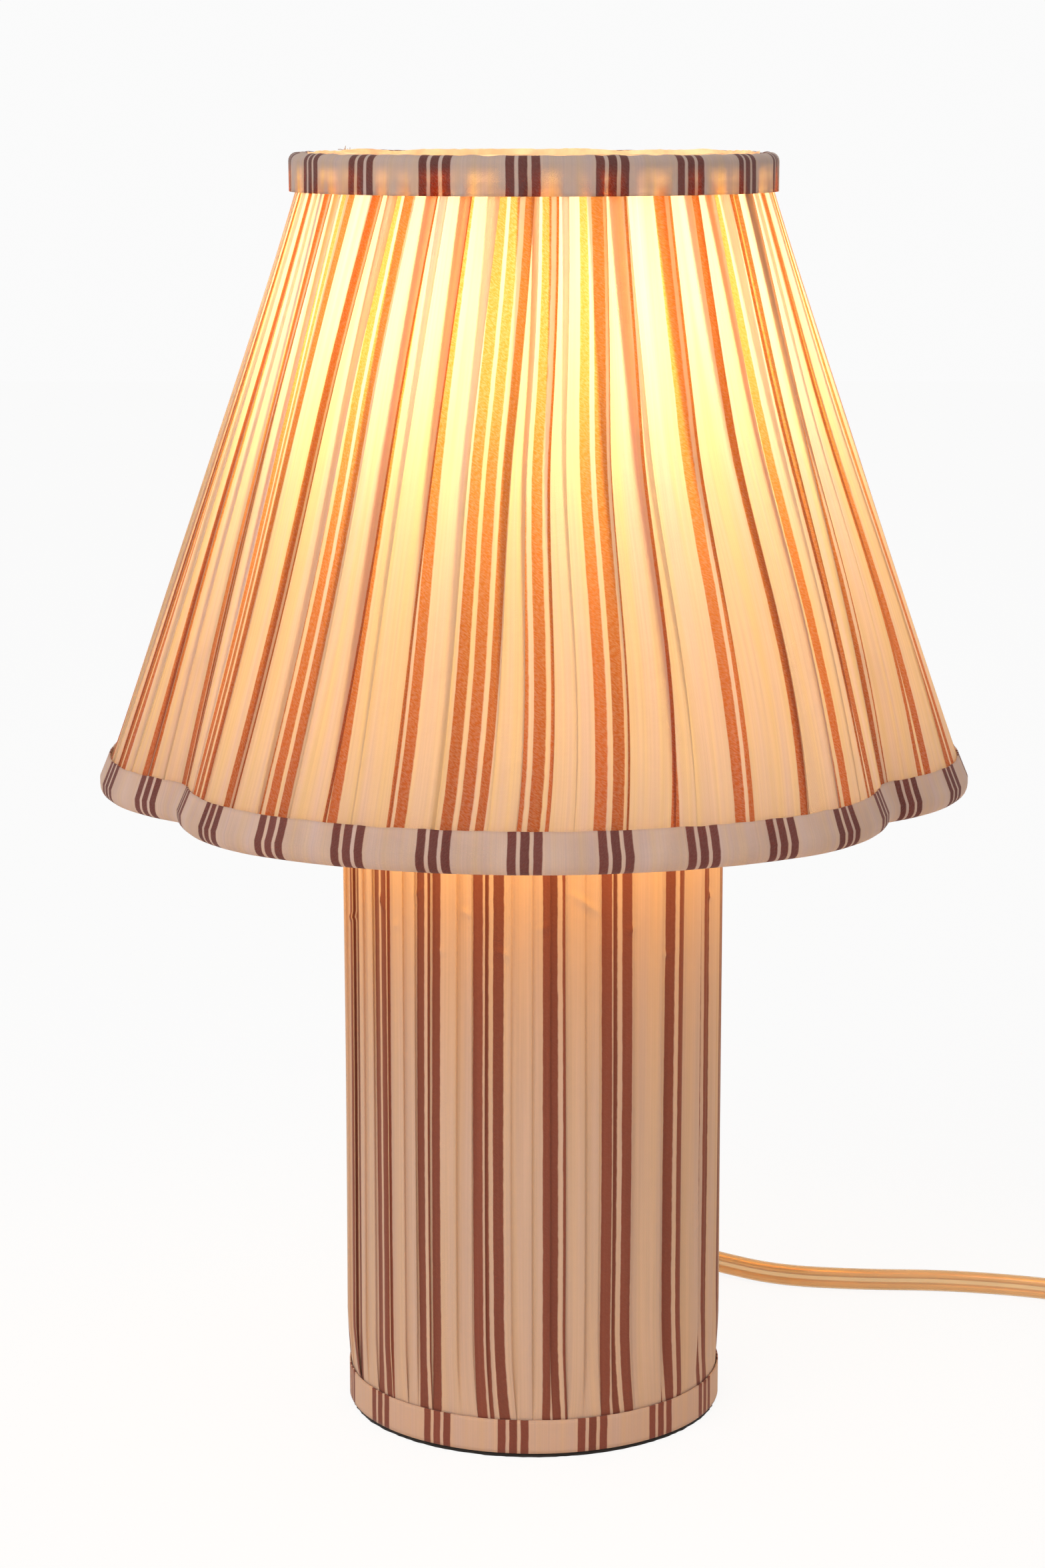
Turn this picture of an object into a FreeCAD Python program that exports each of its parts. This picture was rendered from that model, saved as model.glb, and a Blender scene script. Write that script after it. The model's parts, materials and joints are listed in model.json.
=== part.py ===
import FreeCAD
import Part
import Sketcher
import math
import os
from types import SimpleNamespace

# Fabric table lamp: a round column in gathered cloth, a three-lobed pleated shade on a wire frame,
# a screw lampholder with its bulb, and a flat twin lead with a rocker switch and a plug.
# Millimetres, +Z up. The origin is on the column's axis, on the surface that the lamp stands on.
# The front of the lamp looks along -Y, and the lead leaves at the back.

Vector = FreeCAD.Vector
UP = Vector(0, 0, 1)

doc = FreeCAD.newDocument("FabricTableLamp")
sheet = doc.addObject("Spreadsheet::Sheet", "Sizes")

# Driving dimensions in millimetres, degrees or counts
DIMENSIONS = {
    # Foot and column
    "pad_thickness": 1.2,
    "pad_inset": 0.5,
    "tube_radius": 54.1,
    "tube_wall": 3.0,
    "column_height": 197.0,
    "weight_thickness": 10.0,
    "weight_fit": 0.12,
    "cap_lip": 3.0,
    "cap_inset": 0.5,
    "cap_depth": 10.0,
    "cap_fit": 0.12,
    "cap_round": 1.2,
    # Cloth on the column
    "cloth_gap": 0.1,
    "hem_thickness": 0.3,
    "column_cloth": 2.0,
    "column_fold_depth": 0.9,
    "column_folds": 40,
    "tape_thickness": 0.6,
    "tape_width": 10.0,
    # Threaded tube through the cap
    "nipple_radius": 5.0,
    "nipple_bore": 4.0,
    "nipple_fit": 0.06,
    "nipple_spare": 3.0,
    "nipple_grip": 10.0,
    "washer_radius": 12.0,
    "washer_thickness": 1.2,
    "nut_across": 14.0,
    "nut_thickness": 4.0,
    # Lampholder
    "skirt_radius": 21.0,
    "skirt_foot_radius": 13.0,
    "skirt_height": 26.0,
    "skirt_wall": 2.2,
    "skirt_floor": 3.0,
    "boss_radius": 8.0,
    "spigot_depth": 6.0,
    "spigot_wall": 1.6,
    "holder_fit": 0.12,
    "flange_radius": 23.5,
    "flange_thickness": 3.0,
    "shell_radius": 19.9,
    "shell_height": 30.0,
    "insert_rise": 6.0,
    "insert_thickness": 10.0,
    "socket_wall": 0.4,
    "socket_height": 21.0,
    "socket_flange": 0.8,
    "contact_radius": 4.0,
    "contact_height": 3.0,
    # Clamp ring
    "clamp_inset": 1.5,
    "clamp_height": 9.0,
    "clamp_flange": 2.5,
    "clamp_hub_wall": 3.0,
    "clamp_fit": 0.3,
    "clamp_gap": 0.3,
    "clamp_grips": 16,
    "grip_radius": 1.4,
    # Bulb
    "screw_radius": 13.1,
    "screw_fit": 0.3,
    "screw_length": 17.0,
    "collar_length": 4.0,
    "tip_radius": 4.6,
    "tip_height": 1.3,
    "tip_gap": 0.3,
    "insulator_height": 2.6,
    "housing_height": 30.0,
    "housing_radius": 28.0,
    "bulb_radius": 30.0,
    "globe_height": 48.0,
    # Shade frame, measured to the middle of its wires
    "shade_height": 173.95,
    "shade_top_radius": 66.4,
    "lobe_radius": 120.6,
    "lobe_spread": 35.0,
    "lobe_end_radius": 57.7,
    "notch_radius": 14.3,
    "ring_wire": 1.6,
    "strut_wire": 1.25,
    "strut_inset": 4.2,
    "arm_wire": 1.5,
    "weld_gap": 0.12,
    "fitter_radius": 30.0,
    "fitter_bore_fit": 0.8,
    "fitter_thickness": 2.0,
    "fitter_lift": 45.75,
    # Cloth on the shade
    "shade_folds": 42,
    "shade_fold_depth": 1.0,
    "shade_cloth": 0.6,
    "shade_sag": 2.4,
    "cloth_over_wire": 0.3,
    "cloth_tuck": 2.0,
    "top_leaf_gap": 0.3,
    "bottom_leaf_gap": 0.5,
    "roll_gap": 0.3,
    "top_roll_inside": 1.0,
    "bottom_roll_inside": 5.0,
    # Lead, lying on its narrow edge
    "cord_width": 7.0,
    "cord_thickness": 3.6,
    "relief_radius": 6.6,
    "relief_tip_radius": 4.4,
    "relief_length": 22.0,
    "relief_neck": 5.0,
    "relief_flange": 7.5,
    "relief_flange_thickness": 1.6,
    "relief_gap": 0.3,
    "relief_clear": 0.5,
    "flex_bend": 40.0,
    "flex_end_gap": 0.5,
    # Put-away coil of the lead
    "coil_y": -82.0,
    "coil_radius": 41.45,
    "coil_turns": 3,
    "coil_gap": 0.7,
    "coil_lift": 1.0,
    "coil_leave": 30.0,
    "tie_width": 10.0,
    "tie_thickness": 0.7,
    "tie_gap": 0.6,
    "tie_inner_gap": 1.2,
    # Cord switch
    "switch_x": 195.0,
    "switch_y": 0.0,
    "switch_length": 60.0,
    "switch_width": 26.0,
    "switch_height": 17.0,
    "switch_split": 8.5,
    "switch_corner": 8.0,
    "switch_wall": 2.0,
    "switch_edge": 2.0,
    "rocker_length": 18.0,
    "rocker_width": 10.0,
    "rocker_drop": 4.0,
    "rocker_rise": 5.0,
    "rocker_dip": 1.8,
    "rocker_cheek": 1.5,
    "rocker_tilt": 8.0,
    "rocker_gap": 0.6,
    "pivot_height": 13.0,
    "pivot_radius": 1.2,
    "pivot_fit": 0.05,
    "pivot_seat": 1.0,
    "switch_screw_x": 7.5,
    "switch_screw_y": 21.0,
    "switch_screw_radius": 1.4,
    "switch_screw_head": 2.7,
    "switch_screw_length": 11.0,
    "switch_screw_sink": 1.5,
    "switch_post_radius": 3.0,
    "switch_screw_fit": 0.1,
    "terminal_length": 12.0,
    "terminal_width": 5.0,
    "terminal_height": 4.0,
    "terminal_spread": 13.0,
    # Plug
    "plug_x": 253.8,
    "plug_y": -9.4,
    "plug_turn": 15.0,
    "plug_length": 37.0,
    "plug_width": 35.0,
    "plug_neck_width": 12.0,
    "plug_neck_length": 12.0,
    "plug_shoulder": 24.0,
    "plug_thickness": 13.5,
    "plug_edge": 2.5,
    "pin_radius": 2.0,
    "pin_length": 19.0,
    "pin_tip": 1.0,
    "pin_spacing": 18.6,
}


# A size that carries its number and the sheet expression that gives it
class Size:
    def __init__(self, text, value):
        self.text = text
        self.value = float(value)

    def __add__(self, other):
        other = as_size(other)
        return Size(f"({self.text} + {other.text})", self.value + other.value)

    def __sub__(self, other):
        other = as_size(other)
        return Size(f"({self.text} - {other.text})", self.value - other.value)

    def __mul__(self, other):
        other = as_size(other)
        return Size(f"({self.text} * {other.text})", self.value * other.value)

    def __truediv__(self, other):
        other = as_size(other)
        return Size(f"({self.text} / {other.text})", self.value / other.value)

    def __neg__(self):
        return Size(f"(0 - {self.text})", -self.value)


def as_size(number):
    if isinstance(number, Size):
        return number
    return Size(f"{number:.12g}", number)


def read_sheet():
    for row, (name, number) in enumerate(DIMENSIONS.items(), start=1):
        sheet.set(f"A{row}", name)
        sheet.set(f"B{row}", str(number))
        sheet.setAlias(f"B{row}", name)
    doc.recompute()
    named = {name: Size(f"Sizes.{name}", sheet.get(name)) for name in DIMENSIONS}
    return SimpleNamespace(**named)


s = read_sheet()
ZERO = as_size(0.0)
LOBES = 3
parts = []


# Sketch and feature helpers

def new_body(label):
    body = doc.addObject("PartDesign::Body", label)
    body.Label = label
    parts.append(body)
    return body


def origin_plane(body, role):
    return next(plane for plane in body.Origin.OriginFeatures if plane.Role == role)


def new_sketch(body, role, name, lift=None):
    sketch = body.newObject("Sketcher::SketchObject", name)
    sketch.AttachmentSupport = (origin_plane(body, role), [""])
    sketch.MapMode = "FlatFace"
    if lift is not None:
        sketch.AttachmentOffset = FreeCAD.Placement(Vector(0, 0, lift.value), FreeCAD.Rotation())
        sketch.setExpression("AttachmentOffset.Base.z", lift.text)
    return sketch


def bind(sketch, kind, size, *where):
    index = sketch.addConstraint(Sketcher.Constraint(kind, *where, size.value))
    sketch.setExpression(f"Constraints[{index}]", size.text)


# Holds one sketch point at its two sizes from the sketch's origin
def pin_point(sketch, piece, end, across, up):
    for kind, size, axis in (("DistanceX", across, -2), ("DistanceY", up, -1)):
        if abs(size.value) < 1e-9:
            sketch.addConstraint(Sketcher.Constraint("PointOnObject", piece, end, axis))
        elif size.value > 0:
            bind(sketch, kind, size, -1, 1, piece, end)
        else:
            bind(sketch, kind, -size, piece, end, -1, 1)


# The smaller arc from one point to another, with its radius positive where it turns left
def arc_between(start, finish, radius):
    half = (finish - start) * 0.5
    side = Vector(-half.y, half.x, 0).normalize()
    reach = math.sqrt(max(radius * radius - half.Length ** 2, 0.0))
    centre = start + half + side * math.copysign(reach, radius)
    first, last = (start, finish) if radius > 0 else (finish, start)
    angles = [math.atan2(point.y - centre.y, point.x - centre.x) for point in (first, last)]
    if angles[1] < angles[0]:
        angles[1] += 2 * math.pi
    return Part.ArcOfCircle(Part.Circle(centre, UP, abs(radius)), angles[0], angles[1])


# Draws a closed loop: each corner is (across, up) or (across, up, radius of the arc that leads to it)
def draw_loop(sketch, corners):
    spots = [Vector(corner[0].value, corner[1].value, 0) for corner in corners]
    pieces = []
    for number, corner in enumerate(corners):
        start, finish = spots[number - 1], spots[number]
        if len(corner) == 2:
            piece = sketch.addGeometry(Part.LineSegment(start, finish), False)
            pieces.append((piece, 1, 2))
        else:
            turn = corner[2]
            piece = sketch.addGeometry(arc_between(start, finish, turn.value), False)
            pieces.append((piece, 1, 2) if turn.value > 0 else (piece, 2, 1))
            bind(sketch, "Radius", turn if turn.value > 0 else -turn, piece)
    for number, corner in enumerate(corners):
        piece, first, last = pieces[number]
        following = pieces[(number + 1) % len(pieces)]
        sketch.addConstraint(Sketcher.Constraint("Coincident", piece, last, following[0], following[1]))
        pin_point(sketch, piece, last, corner[0], corner[1])


def draw_circle(sketch, across, up, radius):
    spot = Vector(across.value, up.value, 0)
    piece = sketch.addGeometry(Part.Circle(spot, UP, radius.value), False)
    pin_point(sketch, piece, 3, across, up)
    bind(sketch, "Radius", radius, piece)


# A piece turned about the Z axis from its half section, given as (radius, height) corners
def turned(label, corners):
    body = new_body(label)
    sketch = new_sketch(body, "XZ_Plane", label + "_section")
    draw_loop(sketch, corners)
    turn = body.newObject("PartDesign::Revolution", label + "_turn")
    turn.Profile = sketch
    turn.ReferenceAxis = (sketch, ["V_Axis"])
    turn.Angle = 360
    return body


# A square-cornered ring or disc
def ring(label, inner, outer, bottom, top):
    return turned(label, [(inner, bottom), (outer, bottom), (outer, top), (inner, top)])


def pad(body, name, corners, bottom, height, holes=()):
    sketch = new_sketch(body, "XY_Plane", name + "_sketch", bottom)
    draw_loop(sketch, corners)
    for hole in holes:
        draw_circle(sketch, *hole)
    feature = body.newObject("PartDesign::Pad", name)
    feature.Profile = sketch
    feature.Length = height.value
    feature.setExpression("Length", height.text)
    return feature


# Cuts downwards from a level, by a loop of corners or a list of circles, and checks that it cut
def pocket(body, name, level, depth, corners=None, holes=(), role="XY_Plane", midplane=False):
    doc.recompute()
    before = body.Shape.Volume
    sketch = new_sketch(body, role, name + "_sketch", level)
    if corners:
        draw_loop(sketch, corners)
    for hole in holes:
        draw_circle(sketch, *hole)
    feature = body.newObject("PartDesign::Pocket", name)
    feature.Profile = sketch
    feature.Length = depth.value
    feature.setExpression("Length", depth.text)
    feature.Midplane = midplane
    doc.recompute()
    if body.Shape.Volume > before - 1e-3:
        raise RuntimeError(f"{name} cut nothing")
    return feature


def round_edges(body, name, radius, chosen):
    doc.recompute()
    base = body.Tip
    edges = [f"Edge{number}" for number, edge in enumerate(base.Shape.Edges, start=1) if chosen(edge)]
    feature = body.newObject("PartDesign::Fillet", name)
    feature.Base = (base, edges)
    feature.Radius = radius.value
    feature.setExpression("Radius", radius.text)
    return feature


def lies_at(edge, height):
    return all(abs(vertex.Z - height.value) < 1e-4 for vertex in edge.Vertexes)


def rounded_rectangle(width, length, corner):
    x, y = width / 2, length / 2
    return [
        (x - corner, -y),
        (x, corner - y, corner),
        (x, y - corner),
        (x - corner, y, corner),
        (corner - x, y),
        (-x, y - corner, corner),
        (-x, corner - y),
        (corner - x, -y, corner),
    ]


def rectangle(width, length):
    x, y = width / 2, length / 2
    return [(-x, -y), (x, -y), (x, y), (-x, y)]


def new_feature(label, shape):
    feature = doc.addObject("Part::Feature", label)
    feature.Label = label
    feature.Shape = shape
    parts.append(feature)
    return feature


def place(piece, x, y, z, rotation=FreeCAD.Rotation()):
    piece.Placement = FreeCAD.Placement(Vector(x.value, y.value, z.value), rotation)
    piece.setExpression("Placement.Base.x", x.text)
    piece.setExpression("Placement.Base.y", y.text)
    piece.setExpression("Placement.Base.z", z.text)


# Levels and radii that several pieces share
tube_inner = s.tube_radius - s.tube_wall
cloth_inner = s.tube_radius + s.cloth_gap
cloth_crest = cloth_inner + s.column_cloth
tape_inner = cloth_inner + s.hem_thickness + s.cloth_gap
tape_outer = tape_inner + s.tape_thickness
foot = s.pad_thickness
tape_top = foot + s.tape_width
weight_top = foot + s.weight_thickness
exit_height = weight_top + s.relief_flange + s.relief_clear
tube_top = s.column_height
lip_top = tube_top + s.cap_lip
plug_bottom = tube_top - s.cap_depth
lower_washer_bottom = plug_bottom - s.washer_thickness
lower_nut_bottom = lower_washer_bottom - s.nut_thickness
nipple_bottom = lower_nut_bottom - s.nipple_spare
upper_nut_bottom = lip_top + s.washer_thickness
holder_bottom = upper_nut_bottom + s.nut_thickness
nipple_top = holder_bottom + s.nipple_grip
nipple_hole = s.nipple_radius + s.nipple_fit
skirt_top = holder_bottom + s.skirt_height
flange_top = skirt_top + s.flange_thickness
shell_top = flange_top + s.shell_height
insert_top = flange_top + s.insert_rise
socket_inner = s.screw_radius + s.screw_fit
socket_outer = socket_inner + s.socket_wall
socket_bore = socket_outer + s.holder_fit
insert_radius = s.skirt_radius - s.skirt_wall - s.holder_fit - s.spigot_wall - s.holder_fit
contact_top = insert_top + s.contact_height
tip_bottom = contact_top + s.tip_gap
tip_top = tip_bottom + s.tip_height
insulator_top = tip_top + s.insulator_height
screw_top = insulator_top + s.screw_length
collar_top = screw_top + s.collar_length
housing_top = collar_top + s.housing_height
fitter_top = flange_top + s.fitter_thickness
fitter_middle = flange_top + s.fitter_thickness / 2
bottom_ring_height = fitter_middle - s.fitter_lift
top_ring_height = bottom_ring_height + s.shade_height
roll_inner = s.ring_wire + s.roll_gap
roll_outer = roll_inner + s.tape_thickness
top_leaf_bottom = top_ring_height + roll_outer - s.tape_width
cloth_stand = s.shade_cloth + s.shade_fold_depth
low_cloth = s.ring_wire + s.cloth_over_wire
low_crest = low_cloth + cloth_stand
high_crest = s.shade_top_radius + roll_inner - s.top_leaf_gap
clamp_radius = s.fitter_radius - s.clamp_inset


# Foot and column

def make_foot():
    turned("base_pad", [
        (ZERO, ZERO),
        (tape_outer - s.pad_inset, ZERO),
        (tape_outer - s.pad_inset, foot),
        (ZERO, foot),
    ])
    turned("base_weight", [
        (ZERO, foot),
        (tube_inner - s.weight_fit, foot),
        (tube_inner - s.weight_fit, weight_top),
        (ZERO, weight_top),
    ])


def make_column_tube():
    tube = ring("column_tube", tube_inner, s.tube_radius, foot, tube_top)
    hole = s.relief_neck + s.relief_gap
    pocket(tube, "lead_hole", ZERO, s.tube_radius * 2, holes=[(ZERO, exit_height, hole)], role="XZ_Plane")


def make_column_cap():
    lip = cloth_crest - s.cap_inset
    turned("column_cap", [
        (nipple_hole, plug_bottom),
        (tube_inner - s.cap_fit, plug_bottom),
        (tube_inner - s.cap_fit, tube_top),
        (lip, tube_top),
        (lip, lip_top - s.cap_round),
        (lip - s.cap_round, lip_top, s.cap_round),
        (nipple_hole, lip_top),
    ])


# Sleeve in shallow knife folds, with a thin hem that runs down behind the tape
def make_column_cover():
    crest = cloth_crest.value
    valley = crest - s.column_fold_depth.value
    folds = int(s.column_folds.value)
    fold_turn = 2 * math.pi / folds
    fall_share = 0.8
    corners = []
    for fold in range(folds):
        for share, radius in ((0.0, crest), (fall_share, valley)):
            angle = (fold + share) * fold_turn
            corners.append(Vector(radius * math.cos(angle), radius * math.sin(angle), tape_top.value))
    outline = Part.makePolygon(corners + corners[:1])
    length = tube_top.value - tape_top.value
    sleeve = Part.Face(outline).extrude(UP * length)
    hem_foot = foot + s.cloth_gap
    hem_radius = cloth_inner + s.hem_thickness
    hem_length = tape_top - hem_foot
    hem = Part.makeCylinder(hem_radius.value, hem_length.value, UP * hem_foot.value)
    bore = Part.makeCylinder(cloth_inner.value, tube_top.value, UP * hem_foot.value)
    hole = Part.makeCylinder(s.relief_neck.value + s.relief_gap.value, crest * 2,
                             UP * exit_height.value, Vector(0, 1, 0))
    new_feature("column_cover", sleeve.fuse(hem).cut(bore).cut(hole))


def make_column_trim():
    ring("column_trim", tape_inner, tape_outer, foot, tape_top)


# Tapered relief: turned about its own axis, then laid along +Y through the back of the column
def make_cord_relief():
    shoulder = cloth_crest + s.relief_gap
    wall_clear = s.relief_flange * s.relief_flange / tube_inner / 2
    flange_face = tube_inner - wall_clear - s.relief_gap
    tip = shoulder + s.relief_length
    relief = turned("cord_relief", [
        (ZERO, flange_face - s.relief_flange_thickness),
        (s.relief_flange, flange_face - s.relief_flange_thickness),
        (s.relief_flange, flange_face),
        (s.relief_neck, flange_face),
        (s.relief_neck, shoulder),
        (s.relief_radius, shoulder),
        (s.relief_tip_radius, tip),
        (ZERO, tip),
    ])
    place(relief, ZERO, ZERO, exit_height, FreeCAD.Rotation(Vector(1, 0, 0), -90))
    return flange_face - s.relief_flange_thickness, tip


# Threaded tube and what clamps it to the cap

def hexagon(across):
    flat = across / 2
    corner = across / math.sqrt(3)
    return [
        (corner, ZERO),
        (corner / 2, flat),
        (-corner / 2, flat),
        (-corner, ZERO),
        (-corner / 2, -flat),
        (corner / 2, -flat),
    ]


def make_nipple():
    ring("lamp_nipple", s.nipple_bore, s.nipple_radius, nipple_bottom, nipple_top)
    ring("nipple_washer_lower", nipple_hole, s.washer_radius, lower_washer_bottom, plug_bottom)
    ring("nipple_washer_upper", nipple_hole, s.washer_radius, lip_top, upper_nut_bottom)
    for label, bottom in (("nipple_nut_lower", lower_nut_bottom), ("nipple_nut_upper", upper_nut_bottom)):
        nut = new_body(label)
        pad(nut, label + "_pad", hexagon(s.nut_across), bottom, s.nut_thickness, [(ZERO, ZERO, nipple_hole)])


# Lampholder

def make_holder():
    skirt_inner = s.skirt_radius - s.skirt_wall
    floor_top = holder_bottom + s.skirt_floor
    dome = s.skirt_radius - s.skirt_foot_radius
    boss_top = holder_bottom + s.nipple_grip
    turned("holder_skirt", [
        (nipple_hole, holder_bottom),
        (s.skirt_foot_radius, holder_bottom),
        (s.skirt_radius, holder_bottom + dome, dome),
        (s.skirt_radius, skirt_top),
        (skirt_inner, skirt_top),
        (skirt_inner, holder_bottom + dome),
        (s.skirt_foot_radius - s.skirt_wall, floor_top, -dome - s.skirt_wall),
        (s.boss_radius, floor_top),
        (s.boss_radius, boss_top),
        (nipple_hole, boss_top),
    ])
    spigot = skirt_inner - s.holder_fit
    spigot_bottom = skirt_top - s.spigot_depth
    turned("holder_shell", [
        (spigot - s.spigot_wall, spigot_bottom),
        (spigot, spigot_bottom),
        (spigot, skirt_top),
        (s.flange_radius, skirt_top),
        (s.flange_radius, flange_top),
        (s.shell_radius, flange_top),
        (s.shell_radius, shell_top),
        (socket_bore, shell_top),
        (socket_bore, insert_top),
        (spigot - s.spigot_wall, insert_top),
    ])
    ring("holder_insert", ZERO, insert_radius, insert_top - s.insert_thickness, insert_top)
    ledge = s.contact_radius + (socket_inner - s.contact_radius) / 2
    turned("holder_screw_shell", [
        (ledge, insert_top),
        (socket_outer, insert_top),
        (socket_outer, insert_top + s.socket_height),
        (socket_inner, insert_top + s.socket_height),
        (socket_inner, insert_top + s.socket_flange),
        (ledge, insert_top + s.socket_flange),
    ])
    turned("holder_contact", [
        (ZERO, insert_top),
        (s.contact_radius, insert_top),
        (s.contact_radius, insert_top + s.contact_height / 2),
        (s.contact_radius / 2, contact_top),
        (ZERO, contact_top),
    ])


def make_clamp_ring():
    bottom = fitter_top + s.clamp_gap
    bore = s.shell_radius + s.clamp_fit
    hub = bore + s.clamp_hub_wall
    clamp = turned("shade_clamp_ring", [
        (bore, bottom),
        (clamp_radius, bottom),
        (clamp_radius, bottom + s.clamp_flange),
        (hub, bottom + s.clamp_flange),
        (hub, bottom + s.clamp_height),
        (bore, bottom + s.clamp_height),
    ])
    notch = pocket(clamp, "clamp_grip", bottom + s.clamp_flange, s.clamp_flange,
                   holes=[(clamp_radius, ZERO, s.grip_radius)])
    grips = clamp.newObject("PartDesign::PolarPattern", "clamp_grips")
    grips.Originals = [notch]
    grips.Axis = (notch.Profile[0], ["N_Axis"])
    grips.Angle = 360
    grips.Occurrences = int(s.clamp_grips.value)
    grips.setExpression("Occurrences", s.clamp_grips.text)
    clamp.Tip = grips


# Bulb

def make_bulb():
    ring("bulb_tip", ZERO, s.tip_radius, tip_bottom, tip_top)
    turned("bulb_insulator", [
        (ZERO, tip_top),
        (s.tip_radius, tip_top),
        (s.screw_radius, insulator_top),
        (ZERO, insulator_top),
    ])
    ring("bulb_cap", ZERO, s.screw_radius, insulator_top, screw_top)
    flare = s.housing_height * 2
    turned("bulb_housing", [
        (ZERO, screw_top),
        (s.screw_radius, screw_top),
        (s.screw_radius, collar_top),
        (s.housing_radius, housing_top, -flare),
        (ZERO, housing_top),
    ])
    equator = housing_top + s.globe_height - s.bulb_radius
    turned("bulb_globe", [
        (ZERO, housing_top),
        (s.housing_radius, housing_top),
        (s.bulb_radius, equator, s.globe_height * 2),
        (ZERO, housing_top + s.globe_height, s.bulb_radius),
    ])


# Shade frame

def polar(radius, degrees, height=0.0):
    angle = math.radians(degrees)
    return Vector(radius * math.cos(angle), radius * math.sin(angle), height)


LOBE_TURN = 360.0 / LOBES
FIRST_LOBE = -90.0
first_notch = FIRST_LOBE + LOBE_TURN / 2


# Distance from the axis to the middle of a notch's arc, which touches the two lobe ends beside it
def notch_centre_radius():
    reach = s.lobe_radius.value - s.lobe_end_radius.value
    span = s.lobe_end_radius.value + s.notch_radius.value
    along = reach * math.cos(math.radians(LOBE_TURN / 2 - s.lobe_spread.value))
    return along + math.sqrt(along * along - reach * reach + span * span)


notch_middle = notch_centre_radius()
strut_foot_radius = notch_middle - s.notch_radius.value


# Three lobes of tangent arcs, parallel to the bottom wire at a distance outside it
def lobe_outline(offset, height):
    lift = Vector(0, 0, height)
    reach = s.lobe_radius.value - s.lobe_end_radius.value
    end_radius = s.lobe_end_radius.value + offset
    edges = []
    for lobe in range(LOBES):
        middle = FIRST_LOBE + lobe * LOBE_TURN
        crown = [polar(s.lobe_radius.value + offset, middle + side * s.lobe_spread.value) for side in (-1, 0, 1)]
        tangents, bends = [], []
        for side in (-1, 1):
            centre = polar(reach, middle + side * s.lobe_spread.value)
            toward = (polar(notch_middle, middle + side * LOBE_TURN / 2) - centre).normalize()
            bend = (toward + polar(1.0, middle + side * s.lobe_spread.value)).normalize()
            tangents.append(centre + toward * end_radius)
            bends.append(centre + bend * end_radius)
        floor = polar(strut_foot_radius + offset, middle + LOBE_TURN / 2)
        turn = FreeCAD.Rotation(UP, LOBE_TURN)
        following = turn.multVec(tangents[0])
        for points in (
            (tangents[0], bends[0], crown[0]),
            tuple(crown),
            (crown[2], bends[1], tangents[1]),
            (tangents[1], floor, following),
        ):
            edges.append(Part.Arc(*[point + lift for point in points]).toShape())
    return Part.Wire(edges)


# Start of the outline, its outward direction there, and a map from a flat section to it
def section_at_start(path):
    first = path.OrderedEdges[0]
    start = first.valueAt(first.FirstParameter)
    along = first.tangentAt(first.FirstParameter)
    outward = along.cross(UP).normalize()
    return lambda across, up: start + outward * across + UP * up


def make_bottom_ring():
    path = lobe_outline(0.0, bottom_ring_height.value)
    first = path.OrderedEdges[0]
    start = first.valueAt(first.FirstParameter)
    along = first.tangentAt(first.FirstParameter)
    wire = Part.Wire(Part.Circle(start, along, s.ring_wire.value).toShape())
    new_feature("shade_bottom_ring", path.makePipeShell([wire], True, False))


def make_top_ring():
    top = doc.addObject("Part::Torus", "shade_top_ring")
    top.Label = "shade_top_ring"
    top.Radius1 = s.shade_top_radius.value
    top.setExpression("Radius1", s.shade_top_radius.text)
    top.Radius2 = s.ring_wire.value
    top.setExpression("Radius2", s.ring_wire.text)
    place(top, ZERO, ZERO, top_ring_height)
    parts.append(top)


def make_rod(label, radius, start, finish):
    rod = doc.addObject("Part::Cylinder", label)
    rod.Label = label
    rod.Radius = radius.value
    rod.setExpression("Radius", radius.text)
    rod.Height = (finish - start).Length
    rod.Placement = FreeCAD.Placement(start, FreeCAD.Rotation(UP, finish - start))
    parts.append(rod)


# Straight wires from inside the round ring down to the notches, and arms in from them to the fitter
def make_struts_and_arms():
    foot_height, head_height = bottom_ring_height.value, top_ring_height.value
    head_radius = s.shade_top_radius.value - s.strut_inset.value
    level = fitter_middle.value
    lean = (strut_foot_radius - head_radius) / (head_height - foot_height)
    strut_radius = head_radius + lean * (head_height - level)
    strut_side = s.strut_wire.value * math.hypot(1.0, lean) + s.arm_wire.value * lean
    gap = s.ring_wire.value + s.weld_gap.value
    for number in range(LOBES):
        angle = first_notch + number * LOBE_TURN
        head = polar(head_radius, angle, head_height)
        base = polar(strut_foot_radius, angle, foot_height)
        along = (head - base).normalize()
        make_rod(f"shade_strut_{number + 1}", s.strut_wire, base + along * gap, head)
        inner = polar(s.fitter_radius.value + s.weld_gap.value, angle, level)
        outer = polar(strut_radius - strut_side - s.weld_gap.value, angle, level)
        make_rod(f"fitter_arm_{number + 1}", s.arm_wire, inner, outer)


def make_fitter_ring():
    ring("fitter_ring", s.shell_radius + s.fitter_bore_fit, s.fitter_radius, flange_top, fitter_top)


# Shade cloth

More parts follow.
